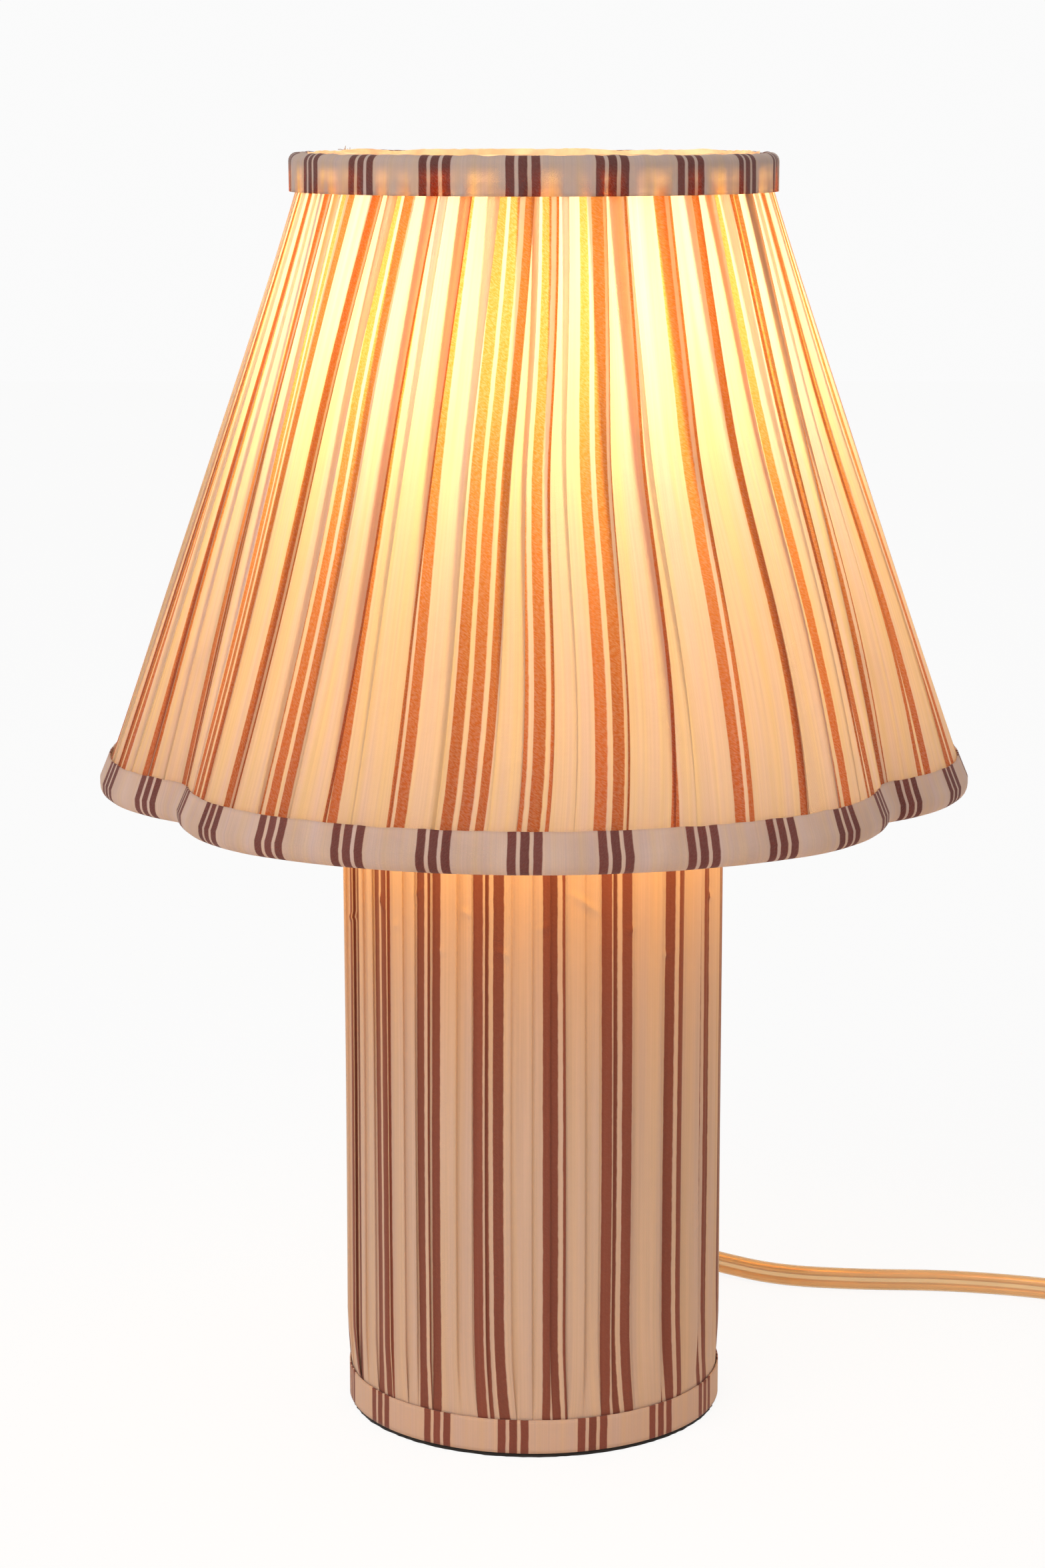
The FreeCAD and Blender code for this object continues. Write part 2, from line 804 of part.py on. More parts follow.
# Cloth in knife folds outside the wires: each fold falls from its crest to a valley and steps up again.
# It leans in a straight line at the notches and sags a little between them.
def make_shade_cover():
    fold_shape = (1.0, 0.45, 0.0)
    count = int(s.shade_folds.value) * len(fold_shape)
    bottom = bottom_ring_height.value
    top = top_leaf_bottom.value + s.cloth_tuck.value
    lobe_crest = s.lobe_radius.value + low_crest.value
    slope = (lobe_crest - high_crest.value) / (top_leaf_bottom.value - bottom)
    high_radius = high_crest.value - slope * s.cloth_tuck.value - cloth_stand.value
    low_inner = lobe_outline(low_cloth.value, bottom).discretize(Number=count + 1)[:count]
    start_angle = math.degrees(math.atan2(low_inner[0].y, low_inner[0].x))
    high_inner = [polar(high_radius, start_angle + 360.0 * number / count, top) for number in range(count)]
    low_outward = outward_of(low_inner)
    high_outward = outward_of(high_inner)

    def sag_at(point):
        from_lobe = math.atan2(point.y, point.x) - math.radians(FIRST_LOBE)
        return s.shade_sag.value * abs(math.cos(from_lobe * LOBES / 2))

    def rings(reach):
        low, middle, high = [], [], []
        for number in range(count):
            stand = reach(fold_shape[number % len(fold_shape)])
            below = low_inner[number] + low_outward[number] * stand
            above = high_inner[number] + high_outward[number] * stand
            low.append(below)
            high.append(above)
            middle.append((below + above) * 0.5 - high_outward[number] * sag_at(below))
        return [Part.makePolygon(points + points[:1]) for points in (low, middle, high)]

    outer = Part.makeLoft(rings(lambda fold: s.shade_cloth.value + fold * s.shade_fold_depth.value), True, True)
    inner = Part.makeLoft(rings(lambda fold: 0.0), True, True)
    new_feature("shade_cover", outer.cut(inner))


def outward_of(points):
    count = len(points)
    sides = []
    for number in range(count):
        along = points[(number + 1) % count] - points[number - 1]
        sides.append(along.cross(UP).normalize())
    return sides


def make_top_trim():
    radius = s.shade_top_radius
    height = top_ring_height
    inside = height - s.top_roll_inside
    turned("shade_top_trim", [
        (radius + roll_inner, top_leaf_bottom),
        (radius + roll_outer, top_leaf_bottom),
        (radius + roll_outer, height),
        (radius, height + roll_outer, roll_outer),
        (radius - roll_outer, height, roll_outer),
        (radius - roll_outer, inside),
        (radius - roll_inner, inside),
        (radius - roll_inner, height),
        (radius, height + roll_inner, -roll_inner),
        (radius + roll_inner, height, -roll_inner),
    ])


# Tape rolled under the bottom wire: an outer leaf over the cloth, a round hem and a short leaf inside.
# Its leaves lean as the cloth does at the notches.
def make_bottom_trim():
    path = lobe_outline(0.0, bottom_ring_height.value)
    spot = section_at_start(path)
    notch_crest = strut_foot_radius + low_crest.value
    slope = (notch_crest - high_crest.value) / (top_leaf_bottom.value - bottom_ring_height.value)
    thickness = s.tape_thickness.value
    outside = low_crest.value + s.bottom_leaf_gap.value
    inside = roll_inner.value
    middle = (outside - inside) / 2
    hem_radius = (outside + inside) / 2
    rise = s.tape_width.value - hem_radius - thickness
    inside_rise = s.bottom_roll_inside.value

    def line(start, finish):
        return Part.LineSegment(spot(*start), spot(*finish)).toShape()

    def hem(radius):
        ends = [(middle + radius, 0), (middle, -radius), (middle - radius, 0)]
        return Part.Arc(*[spot(*end) for end in ends]).toShape()

    def leaf(foot, height):
        near, far = foot
        top = [(near - slope * height, height), (far - slope * height, height)]
        return [line((near, 0), top[0]), line(*top), line(top[1], (far, 0))]

    section = Part.Wire([
        *leaf((outside, outside + thickness), rise),
        hem(hem_radius + thickness),
        *leaf((-inside - thickness, -inside), inside_rise),
        hem(hem_radius),
    ])
    new_feature("shade_bottom_trim", path.makePipeShell([section], True, False))


# Lead

# Straight runs joined by tangent arcs, each as large as its two runs allow
def route_path(points):
    edges = []
    start = points[0]
    radii = []
    for before, corner, after in zip(points, points[1:], points[2:]):
        back, ahead = (before - corner), (after - corner)
        reach = 0.45 * min(back.Length, ahead.Length)
        back.normalize()
        ahead.normalize()
        half_turn = (math.pi - back.getAngle(ahead)) / 2
        radius = reach / math.tan(half_turn)
        radii.append(radius)
        inward = (back + ahead).normalize()
        entry, leave = corner + back * reach, corner + ahead * reach
        middle = corner + inward * (radius / math.cos(half_turn) - radius)
        edges.append(Part.LineSegment(start, entry).toShape())
        edges.append(Part.Arc(entry, middle, leave).toShape())
        start = leave
    edges.append(Part.LineSegment(start, points[-1]).toShape())
    return Part.Wire(edges), radii


# Flat section with round edges, on its narrow side across the start of a path or leaning from there
def cord_section(path, lean):
    upright = section_at_start(path)
    lean_across, lean_up = math.sin(lean), math.cos(lean)

    def spot(across, up):
        return upright(across * lean_up + up * lean_across, up * lean_up - across * lean_across)

    side = s.cord_thickness.value / 2
    rise = s.cord_width.value / 2 - side
    peak = s.cord_width.value / 2
    return Part.Wire([
        Part.LineSegment(spot(side, -rise), spot(side, rise)).toShape(),
        Part.Arc(spot(side, rise), spot(0, peak), spot(-side, rise)).toShape(),
        Part.LineSegment(spot(-side, rise), spot(-side, -rise)).toShape(),
        Part.Arc(spot(-side, -rise), spot(0, -peak), spot(side, -rise)).toShape(),
    ])


def make_cord(label, path, lean=0.0):
    section = cord_section(path, lean)
    shape = path.makePipeShell([section], True, False)
    expected = Part.Face(section).Area * path.Length
    print(f"{label}: {path.Length:.0f} mm, volume {shape.Volume / expected:.4f} of section times length")
    new_feature(label, shape)


def make_routed_cord(label, points):
    path, radii = route_path(points)
    print(f"{label} radii:", " ".join(f"{radius:.0f}" for radius in radii))
    make_cord(label, path)


coil_step = s.cord_thickness + s.coil_gap
coil_x = s.switch_x + s.coil_radius
coil_layer = s.cord_width + s.coil_gap
coil_low = s.cord_width / 2 + s.coil_lift
coil_high = coil_low + coil_layer
cord_floor = s.cord_width.value / 2
switch_entry = s.switch_split.value
plug_entry = s.plug_thickness.value / 2
switch_back = s.switch_y.value + s.switch_length.value / 2
switch_front = s.switch_y.value - s.switch_length.value / 2


# Back of the column to the switch: out of the relief, down to the table and round to the right
def make_lead(relief_tip):
    switch_x = s.switch_x.value
    make_routed_cord("cord_lead", [
        Vector(0, relief_tip.value, exit_height.value),
        Vector(0, 92.5, exit_height.value),
        Vector(9, 108, 15),
        Vector(24.6, 117, 11.5),
        Vector(42.6, 116.5, 8),
        Vector(61, 107, 5),
        Vector(80, 95.5, 3.6),
        Vector(108, 91.5, cord_floor),
        Vector(134, 91, cord_floor),
        Vector(165, 83.5, cord_floor),
        Vector(184, 71.5, 4),
        Vector(192.5, 58, 6),
        Vector(switch_x, 44, switch_entry),
        Vector(switch_x, switch_back, switch_entry),
    ])


# Switch to the coil's first turn
def make_link(coil_start):
    switch_x = s.switch_x.value
    make_routed_cord("cord_link", [
        Vector(switch_x, switch_front, switch_entry),
        Vector(switch_x, -42, switch_entry),
        Vector(switch_x - 0.8, -56, 6),
        Vector(coil_start.x, -70, coil_start.z),
        coil_start,
    ])


# Two layers of turns: in along the lower one, up in one half turn, and out along the upper one
def coil_path():
    step = coil_step.value / 2
    middle = Vector(coil_x.value, s.coil_y.value, 0)
    low, high = coil_low.value, coil_high.value
    halves = 2 * int(s.coil_turns.value)
    edges = []

    def half_turn(centre_shift, radius, height, southward):
        centre = middle + Vector(centre_shift, 0, height)
        side = -1 if southward else 1
        points = [Vector(side * radius, 0, 0), Vector(0, side * radius, 0), Vector(-side * radius, 0, 0)]
        edges.append(Part.Arc(*[centre + point for point in points]).toShape())

    radius = s.coil_radius.value
    for half in range(halves):
        half_turn(0 if half % 2 == 0 else step, radius, low, half % 2 == 0)
        radius -= step
    climb = coil_layer.value / 2
    top = Vector(0, -math.hypot(radius, climb), low + climb)
    for start, heading in ((Vector(-radius, 0, low), -1), (Vector(radius, 0, high), -1)):
        chord = top - start
        along = Vector(0, heading, 0)
        lean = chord.getAngle(along)
        bulge = (along - chord * (along.dot(chord) / chord.Length ** 2)).normalize()
        bend = (start + top) * 0.5 + bulge * (chord.Length / 2 * math.tan(lean / 2))
        ends = (start, bend, top) if start.z < top.z else (top, bend, start)
        edges.append(Part.Arc(*[middle + point for point in ends]).toShape())
    for half in range(halves):
        radius += step
        half_turn(0 if half % 2 else -step, radius, high, half % 2 == 1)
    radius += step
    centre = middle + Vector(-step, 0, high)
    leave = s.coil_leave.value
    edges.append(Part.Arc(*[centre + polar(radius, leave * share) for share in (0, 0.5, 1)]).toShape())
    return Part.Wire(edges)


# Least clear distance between turns, on points along the coil, for the flat section on its edge
def least_coil_gap(path):
    spacing = 2.0
    skip = 12
    points = path.discretize(Distance=spacing)
    core = s.cord_width.value - s.cord_thickness.value
    least = 1e9
    for number, point in enumerate(points):
        for other in points[number + skip:]:
            level = max(abs(other.z - point.z) - core, 0.0)
            flat = math.hypot(other.x - point.x, other.y - point.y)
            least = min(least, math.hypot(flat, level))
    return least - s.cord_thickness.value


# The climb turns the section on its way up, so the turns lean as far one way below as the other way above
def make_coil():
    path = coil_path()
    print(f"cord_coil least gap: {least_coil_gap(path):.2f} mm")
    climb_radius = s.coil_radius - coil_step * s.coil_turns
    make_cord("cord_coil", path, coil_layer.value / climb_radius.value / 2)
    first, last = path.OrderedEdges[0], path.OrderedEdges[-1]
    start = first.valueAt(first.FirstParameter)
    finish = last.valueAt(last.LastParameter)
    return start, finish, last.tangentAt(last.LastParameter)


# Coil to plug: down from the upper layer to the plug beside the coil
def make_tail(finish, heading):
    plug = Vector(s.plug_x.value, s.plug_y.value, plug_entry)
    plug_heading = polar(1.0, 90 + s.plug_turn.value)
    make_routed_cord("cord_tail", [
        finish,
        finish + heading * 13,
        Vector(261.5, -36, 9.6),
        plug - plug_heading * 13,
        plug,
    ])


# Strap round all the turns at the front of the coil
def make_tie():
    half_cord = s.cord_thickness / 2
    steps = s.coil_turns * coil_step
    near = s.coil_radius - steps - half_cord - s.tie_inner_gap
    far = s.coil_radius + half_cord + s.tie_gap
    bottom = s.tie_thickness
    top = coil_high + s.cord_width / 2 + s.tie_gap

    def block(label, width, grow):
        box = doc.addObject("Part::Box", label)
        for side, size in (("Length", width), ("Width", far - near + grow * 2), ("Height", top - bottom + grow * 2)):
            setattr(box, side, size.value)
            box.setExpression(side, size.text)
        place(box, coil_x - width / 2, s.coil_y - far - grow, bottom - grow)
        return box

    tie = doc.addObject("Part::Cut", "coil_tie")
    tie.Label = "coil_tie"
    tie.Base = block("tie_outside", s.tie_width, s.tie_thickness)
    tie.Tool = block("tie_inside", s.tie_width * 2, ZERO)
    parts.append(tie)


# Lead inside the column: in from the relief, round a bend and up through the threaded tube
def make_inner_flex(relief_inside):
    start = Vector(0, relief_inside.value, exit_height.value)
    bend = s.flex_bend.value
    end_height = insert_top.value - s.insert_thickness.value - s.flex_end_gap.value
    slant = bend * (1 - math.sqrt(0.5))
    edges = [
        Part.LineSegment(start, Vector(0, bend, start.z)).toShape(),
        Part.Arc(Vector(0, bend, start.z), Vector(0, slant, start.z + slant),
                 Vector(0, 0, start.z + bend)).toShape(),
        Part.LineSegment(Vector(0, 0, start.z + bend), Vector(0, 0, end_height)).toShape(),
    ]
    make_cord("inner_flex", Part.Wire(edges))


# Cord switch, modelled along Y about its own middle and then laid in place

def set_in_switch(piece, rotation=FreeCAD.Rotation(), lift=ZERO):
    place(piece, s.switch_x, s.switch_y, lift, rotation)


def make_switch():
    inner_width = s.switch_width - s.switch_wall * 2
    inner_length = s.switch_length - s.switch_wall * 2
    inner_corner = s.switch_corner - s.switch_wall
    outside = rounded_rectangle(s.switch_width, s.switch_length, s.switch_corner)
    inside = rounded_rectangle(inner_width, inner_length, inner_corner)
    screws = [(s.switch_screw_x, s.switch_screw_y), (-s.switch_screw_x, -s.switch_screw_y)]
    clear = s.switch_screw_radius + s.switch_screw_fit

    base = new_body("switch_base")
    pad(base, "switch_base_block", outside, ZERO, s.switch_split)
    round_edges(base, "switch_base_edge", s.switch_edge, lambda edge: lies_at(edge, ZERO))
    pocket(base, "switch_base_hollow", s.switch_split, s.switch_split - s.switch_wall, inside)
    add_posts(base, "switch_base_posts", screws, s.switch_wall, s.switch_split - s.switch_wall)
    pocket(base, "switch_base_screw_holes", s.switch_split, s.switch_split,
           holes=[(x, y, clear) for x, y in screws])
    pocket(base, "switch_base_screw_heads", s.switch_screw_sink, s.switch_screw_sink,
           holes=[(x, y, s.switch_screw_head + s.switch_screw_fit) for x, y in screws])
    set_in_switch(base)

    cover = new_body("switch_cover")
    cover_height = s.switch_height - s.switch_split
    roof = s.switch_height - s.switch_wall
    pad(cover, "switch_cover_block", outside, s.switch_split, cover_height)
    round_edges(cover, "switch_cover_edge", s.switch_edge, lambda edge: lies_at(edge, s.switch_height))
    pocket(cover, "switch_cover_hollow", roof, roof - s.switch_split, inside)
    add_posts(cover, "switch_cover_posts", screws, s.switch_split, roof - s.switch_split)
    screw_top = s.switch_screw_length + s.switch_screw_fit
    pocket(cover, "switch_cover_screw_holes", screw_top, screw_top - s.switch_split,
           holes=[(x, y, clear) for x, y in screws])
    window = rectangle(s.rocker_width + s.rocker_gap * 2, s.rocker_length + s.rocker_gap * 4)
    pocket(cover, "switch_window", s.switch_height, s.switch_wall, window)
    seat = inner_width + s.pivot_seat * 2
    pocket(cover, "switch_pivot_seats", ZERO, seat, role="YZ_Plane", midplane=True,
           holes=[(ZERO, s.pivot_height, s.pivot_radius + s.pivot_fit)])
    set_in_switch(cover)

    pin = turned("rocker_pin", [
        (ZERO, -seat / 2 + s.pivot_fit),
        (s.pivot_radius, -seat / 2 + s.pivot_fit),
        (s.pivot_radius, seat / 2 - s.pivot_fit),
        (ZERO, seat / 2 - s.pivot_fit),
    ])
    set_in_switch(pin, FreeCAD.Rotation(Vector(0, 1, 0), 90), s.pivot_height)
    make_rocker()
    make_switch_screws(screws)
    make_terminals()


def add_posts(body, name, screws, bottom, height):
    sketch = new_sketch(body, "XY_Plane", name + "_sketch", bottom)
    for x, y in screws:
        draw_circle(sketch, x, y, s.switch_post_radius)
    posts = body.newObject("PartDesign::Pad", name)
    posts.Profile = sketch
    posts.Length = height.value
    posts.setExpression("Length", height.text)


# Rocker with a dished top, drawn level about its pivot and tipped to the side that is on
def make_rocker():
    rocker = new_body("switch_rocker")
    end = s.rocker_length / 2
    belly = s.rocker_length / 4
    sketch = new_sketch(rocker, "YZ_Plane", "rocker_side")
    draw_loop(sketch, [
        (-belly, -s.rocker_drop),
        (belly, -s.rocker_drop),
        (end, -s.rocker_cheek),
        (end, s.rocker_rise),
        (ZERO, s.rocker_rise - s.rocker_dip),
        (-end, s.rocker_rise),
        (-end, -s.rocker_cheek),
    ])
    draw_circle(sketch, ZERO, ZERO, s.pivot_radius + s.pivot_fit)
    block = rocker.newObject("PartDesign::Pad", "rocker_block")
    block.Profile = sketch
    block.Length = s.rocker_width.value
    block.setExpression("Length", s.rocker_width.text)
    block.Midplane = True
    set_in_switch(rocker, FreeCAD.Rotation(Vector(1, 0, 0), s.rocker_tilt.value), s.pivot_height)


def make_switch_screws(screws):
    solids = []
    for x, y in screws:
        spot = Vector(s.switch_x.value + x.value, s.switch_y.value + y.value, 0)
        head = Part.makeCylinder(s.switch_screw_head.value, s.switch_screw_sink.value, spot)
        shank = Part.makeCylinder(s.switch_screw_radius.value, s.switch_screw_length.value, spot)
        solids.append(head.fuse(shank).removeSplitter())
    new_feature("switch_screws", Part.makeCompound(solids))


def make_terminals():
    solids = []
    for side in (-1, 1):
        corner = Vector(
            s.switch_x.value - s.terminal_width.value / 2,
            s.switch_y.value + side * s.terminal_spread.value - s.terminal_length.value / 2,
            s.switch_wall.value,
        )
        solids.append(Part.makeBox(s.terminal_width.value, s.terminal_length.value, s.terminal_height.value, corner))
    new_feature("switch_terminals", Part.makeCompound(solids))


# Flat two-pin plug, modelled with its pins along +Y and then turned to follow the lead

def make_plug():
    turn = FreeCAD.Rotation(UP, s.plug_turn.value)
    neck, wide = s.plug_neck_width / 2, s.plug_width / 2
    body = new_body("plug_body")
    pad(body, "plug_block", [
        (-neck, ZERO),
        (neck, ZERO),
        (neck, s.plug_neck_length),
        (wide, s.plug_shoulder),
        (wide, s.plug_length),
        (-wide, s.plug_length),
        (-wide, s.plug_shoulder),
        (-neck, s.plug_neck_length),
    ], ZERO, s.plug_thickness)
    round_edges(body, "plug_edges", s.plug_edge,
                lambda edge: lies_at(edge, ZERO) or lies_at(edge, s.plug_thickness))
    place(body, s.plug_x, s.plug_y, ZERO, turn)
    along = turn.multiply(FreeCAD.Rotation(Vector(1, 0, 0), -90))
    for label, side in (("plug_pin_left", -1), ("plug_pin_right", 1)):
        pin = turned(label, [
            (ZERO, ZERO),
            (s.pin_radius, ZERO),
            (s.pin_radius, s.pin_length - s.pin_tip),
            (s.pin_radius - s.pin_tip, s.pin_length, s.pin_tip),
            (ZERO, s.pin_length),
        ])
        offset = turn.multVec(Vector(side * s.pin_spacing.value / 2, s.plug_length.value, plug_entry))
        spot = Vector(s.plug_x.value, s.plug_y.value, 0) + offset
        pin.Placement = FreeCAD.Placement(spot, along)


def make_lamp():
    make_foot()
    make_column_tube()
    make_column_cap()
    make_column_cover()
    make_column_trim()
    relief_inside, relief_tip = make_cord_relief()
    make_inner_flex(relief_inside)
    make_nipple()
    make_holder()
    make_clamp_ring()
    make_bulb()
    make_bottom_ring()
    make_top_ring()
    make_struts_and_arms()
    make_fitter_ring()
    make_shade_cover()
    make_top_trim()
    make_bottom_trim()
    make_lead(relief_tip)
    coil_start, coil_finish, heading = make_coil()
    make_link(coil_start)
    make_tail(coil_finish, heading)
    make_tie()
    make_switch()
    make_plug()


def check_document():
    doc.recompute()
    for item in doc.Objects:
        if "Invalid" in item.State or "Error" in item.State:
            raise RuntimeError(f"{item.Label} failed: {item.State}")
    for piece in parts:
        if piece.Shape.isNull() or not piece.Shape.isValid():
            raise RuntimeError(f"{piece.Label} has no valid shape")


def write_parts():
    os.makedirs("parts", exist_ok=True)
    for piece in parts:
        piece.Shape.exportStep(f"parts/{piece.Label}.step")
    print(f"{len(parts)} sub-parts written")


make_lamp()
check_document()
write_parts()
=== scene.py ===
import json
import math
import random
from bisect import bisect_right
from functools import partial

import bmesh
import bpy
from mathutils import Vector, noise
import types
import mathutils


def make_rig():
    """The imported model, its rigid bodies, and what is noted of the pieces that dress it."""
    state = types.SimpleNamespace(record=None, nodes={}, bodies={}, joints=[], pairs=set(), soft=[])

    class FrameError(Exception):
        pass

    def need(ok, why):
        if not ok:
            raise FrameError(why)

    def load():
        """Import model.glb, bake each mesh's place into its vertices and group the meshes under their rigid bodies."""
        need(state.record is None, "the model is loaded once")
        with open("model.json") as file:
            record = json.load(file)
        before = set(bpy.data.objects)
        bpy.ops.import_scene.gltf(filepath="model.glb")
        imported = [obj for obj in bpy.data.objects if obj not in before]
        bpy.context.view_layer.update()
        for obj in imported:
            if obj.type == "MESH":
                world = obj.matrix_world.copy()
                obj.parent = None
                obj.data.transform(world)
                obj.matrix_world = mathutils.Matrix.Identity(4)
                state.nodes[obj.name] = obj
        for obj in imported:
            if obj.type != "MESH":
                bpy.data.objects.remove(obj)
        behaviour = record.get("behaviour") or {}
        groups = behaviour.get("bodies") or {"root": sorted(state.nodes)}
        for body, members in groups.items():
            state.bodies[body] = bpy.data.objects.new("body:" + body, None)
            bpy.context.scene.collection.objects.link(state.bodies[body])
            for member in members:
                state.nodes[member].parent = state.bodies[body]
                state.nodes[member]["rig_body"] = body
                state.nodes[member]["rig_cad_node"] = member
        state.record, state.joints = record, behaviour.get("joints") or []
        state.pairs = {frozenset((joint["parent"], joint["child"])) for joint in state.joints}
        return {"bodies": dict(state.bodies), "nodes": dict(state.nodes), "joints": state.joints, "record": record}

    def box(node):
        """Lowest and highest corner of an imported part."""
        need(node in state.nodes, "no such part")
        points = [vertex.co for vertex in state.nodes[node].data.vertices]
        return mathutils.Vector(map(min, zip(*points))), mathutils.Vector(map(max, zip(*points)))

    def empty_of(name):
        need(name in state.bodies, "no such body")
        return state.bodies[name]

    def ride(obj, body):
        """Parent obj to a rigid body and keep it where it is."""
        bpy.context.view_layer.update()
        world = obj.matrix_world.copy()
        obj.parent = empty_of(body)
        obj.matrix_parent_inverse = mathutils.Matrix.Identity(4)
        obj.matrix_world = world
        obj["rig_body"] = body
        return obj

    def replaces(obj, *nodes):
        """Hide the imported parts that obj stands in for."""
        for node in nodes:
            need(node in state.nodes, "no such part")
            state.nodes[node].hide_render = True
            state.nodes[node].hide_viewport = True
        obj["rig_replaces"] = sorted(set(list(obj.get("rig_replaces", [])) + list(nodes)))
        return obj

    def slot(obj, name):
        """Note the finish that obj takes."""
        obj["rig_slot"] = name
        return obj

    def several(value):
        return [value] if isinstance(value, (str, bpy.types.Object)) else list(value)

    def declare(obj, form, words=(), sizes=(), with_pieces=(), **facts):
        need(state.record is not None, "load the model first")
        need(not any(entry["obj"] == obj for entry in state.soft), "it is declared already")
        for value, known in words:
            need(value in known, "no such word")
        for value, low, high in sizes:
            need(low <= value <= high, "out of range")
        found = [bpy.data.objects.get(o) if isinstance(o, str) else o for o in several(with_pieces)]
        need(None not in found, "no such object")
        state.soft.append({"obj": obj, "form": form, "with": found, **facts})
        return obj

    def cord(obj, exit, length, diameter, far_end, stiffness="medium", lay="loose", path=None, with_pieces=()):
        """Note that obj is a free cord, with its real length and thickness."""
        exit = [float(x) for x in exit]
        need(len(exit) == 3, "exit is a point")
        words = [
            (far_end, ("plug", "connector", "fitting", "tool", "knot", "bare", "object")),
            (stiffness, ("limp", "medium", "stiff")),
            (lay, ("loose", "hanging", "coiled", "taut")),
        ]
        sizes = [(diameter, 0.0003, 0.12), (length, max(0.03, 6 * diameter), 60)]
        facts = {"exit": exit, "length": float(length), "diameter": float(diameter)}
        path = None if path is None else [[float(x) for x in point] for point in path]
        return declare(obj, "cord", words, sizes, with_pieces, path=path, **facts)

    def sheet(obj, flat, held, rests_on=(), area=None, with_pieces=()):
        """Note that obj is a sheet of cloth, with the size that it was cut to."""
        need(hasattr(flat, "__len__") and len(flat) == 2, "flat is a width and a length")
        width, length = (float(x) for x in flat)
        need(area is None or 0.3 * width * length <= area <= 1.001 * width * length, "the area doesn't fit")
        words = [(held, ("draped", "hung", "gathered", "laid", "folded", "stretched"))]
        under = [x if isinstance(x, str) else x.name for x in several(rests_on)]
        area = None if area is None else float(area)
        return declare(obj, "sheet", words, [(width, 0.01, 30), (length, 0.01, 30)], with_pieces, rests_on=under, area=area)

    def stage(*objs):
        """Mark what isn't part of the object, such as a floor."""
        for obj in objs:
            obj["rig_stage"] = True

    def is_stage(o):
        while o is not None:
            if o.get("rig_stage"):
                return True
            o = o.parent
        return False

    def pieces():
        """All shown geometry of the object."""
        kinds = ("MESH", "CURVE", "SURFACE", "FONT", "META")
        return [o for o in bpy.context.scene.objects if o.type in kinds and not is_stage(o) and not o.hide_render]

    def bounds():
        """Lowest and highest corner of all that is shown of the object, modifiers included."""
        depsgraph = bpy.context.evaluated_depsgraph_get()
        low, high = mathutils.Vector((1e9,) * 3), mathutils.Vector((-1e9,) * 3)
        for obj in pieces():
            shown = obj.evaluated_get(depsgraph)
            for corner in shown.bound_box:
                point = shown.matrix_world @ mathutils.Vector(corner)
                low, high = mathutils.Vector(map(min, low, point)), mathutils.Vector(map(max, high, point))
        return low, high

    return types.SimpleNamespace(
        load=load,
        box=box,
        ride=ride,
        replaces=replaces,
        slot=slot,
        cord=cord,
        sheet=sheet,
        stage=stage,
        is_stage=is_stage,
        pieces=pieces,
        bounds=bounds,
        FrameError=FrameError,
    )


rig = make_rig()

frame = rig.load()
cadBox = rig.bounds()
scene = bpy.context.scene
mm = 0.001
print("frame loaded:", len(frame["nodes"]), "nodes")


# Mesh helpers

def newPiece(name, points, faces):
    mesh = bpy.data.meshes.new(name)
    mesh.from_pydata(points, [], faces)
    mesh.shade_smooth()
    piece = bpy.data.objects.new(name, mesh)
    scene.collection.objects.link(piece)
    return piece


# Map of a piece whose finish doesn't read it
def plainMap(row, column):
    return column * 0.01, row * 0.1


# Rows of points, each row a closed ring. uvAt also answers one past the last column or row.
def gridPiece(name, grid, uvAt=plainMap, closedRows=False):
    rows, columns = len(grid), len(grid[0])
    faces, uvs = [], []
    for row in range(rows if closedRows else rows - 1):
        above = (row + 1) % rows
        for column in range(columns):
            after = (column + 1) % columns
            faces.append((row * columns + column, row * columns + after,
                          above * columns + after, above * columns + column))
            corners = ((row, column), (row, column + 1), (row + 1, column + 1), (row + 1, column))
            uvs += [uvAt(*corner) for corner in corners]
    piece = newPiece(name, [point for row in grid for point in row], faces)
    layer = piece.data.uv_layers.new(name="cloth")
    layer.data.foreach_set("uv", [number for uv in uvs for number in uv])
    return piece


def closeEnds(piece):
    shape = bmesh.new()
    shape.from_mesh(piece.data)
    bmesh.ops.holes_fill(shape, edges=shape.edges[:], sides=0)
    bmesh.ops.recalc_face_normals(shape, faces=shape.faces[:])
    shape.to_mesh(piece.data)
    shape.free()
    return piece


def settle(piece, body, slot, material, *nodes):
    piece.data.materials.clear()
    piece.data.materials.append(material)
    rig.ride(piece, body)
    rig.slot(piece, slot)
    if nodes:
        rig.replaces(piece, *nodes)
    return piece


def clamped(value):
    return min(max(value, 0.0), 1.0)


def polar(radius, degrees):
    turn = math.radians(degrees)
    return Vector((radius * math.cos(turn), radius * math.sin(turn), 0.0))


def ringOf(radius, steps):
    return [polar(radius, 360.0 * step / steps) for step in range(steps)]


# Noise that meets itself again after a turn
def ringNoise(turns, degrees, height=0.0):
    spot = polar(turns, degrees)
    return noise.noise((spot.x, spot.y, height))


def middleHeight(node):
    return sum(corner.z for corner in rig.box(node)) / 2


# Ribbon of a given thickness about a flat line of (across, up) points, as an anticlockwise loop
def thickLoop(line, thickness):
    sides = [[], []]
    for number, spot in enumerate(line):
        before, after = line[max(number - 1, 0)], line[min(number + 1, len(line) - 1)]
        along = Vector((after[0] - before[0], after[1] - before[1])).normalized()
        for side, sign in zip(sides, (1, -1)):
            side.append((spot[0] - sign * along.y * thickness / 2, spot[1] + sign * along.x * thickness / 2))
    loop = sides[0] + sides[1][::-1]
    area = sum(a[0] * b[1] - b[0] * a[1] for a, b in zip(loop, loop[1:] + loop[:1]))
    return loop if area > 0 else loop[::-1]


# Material helpers

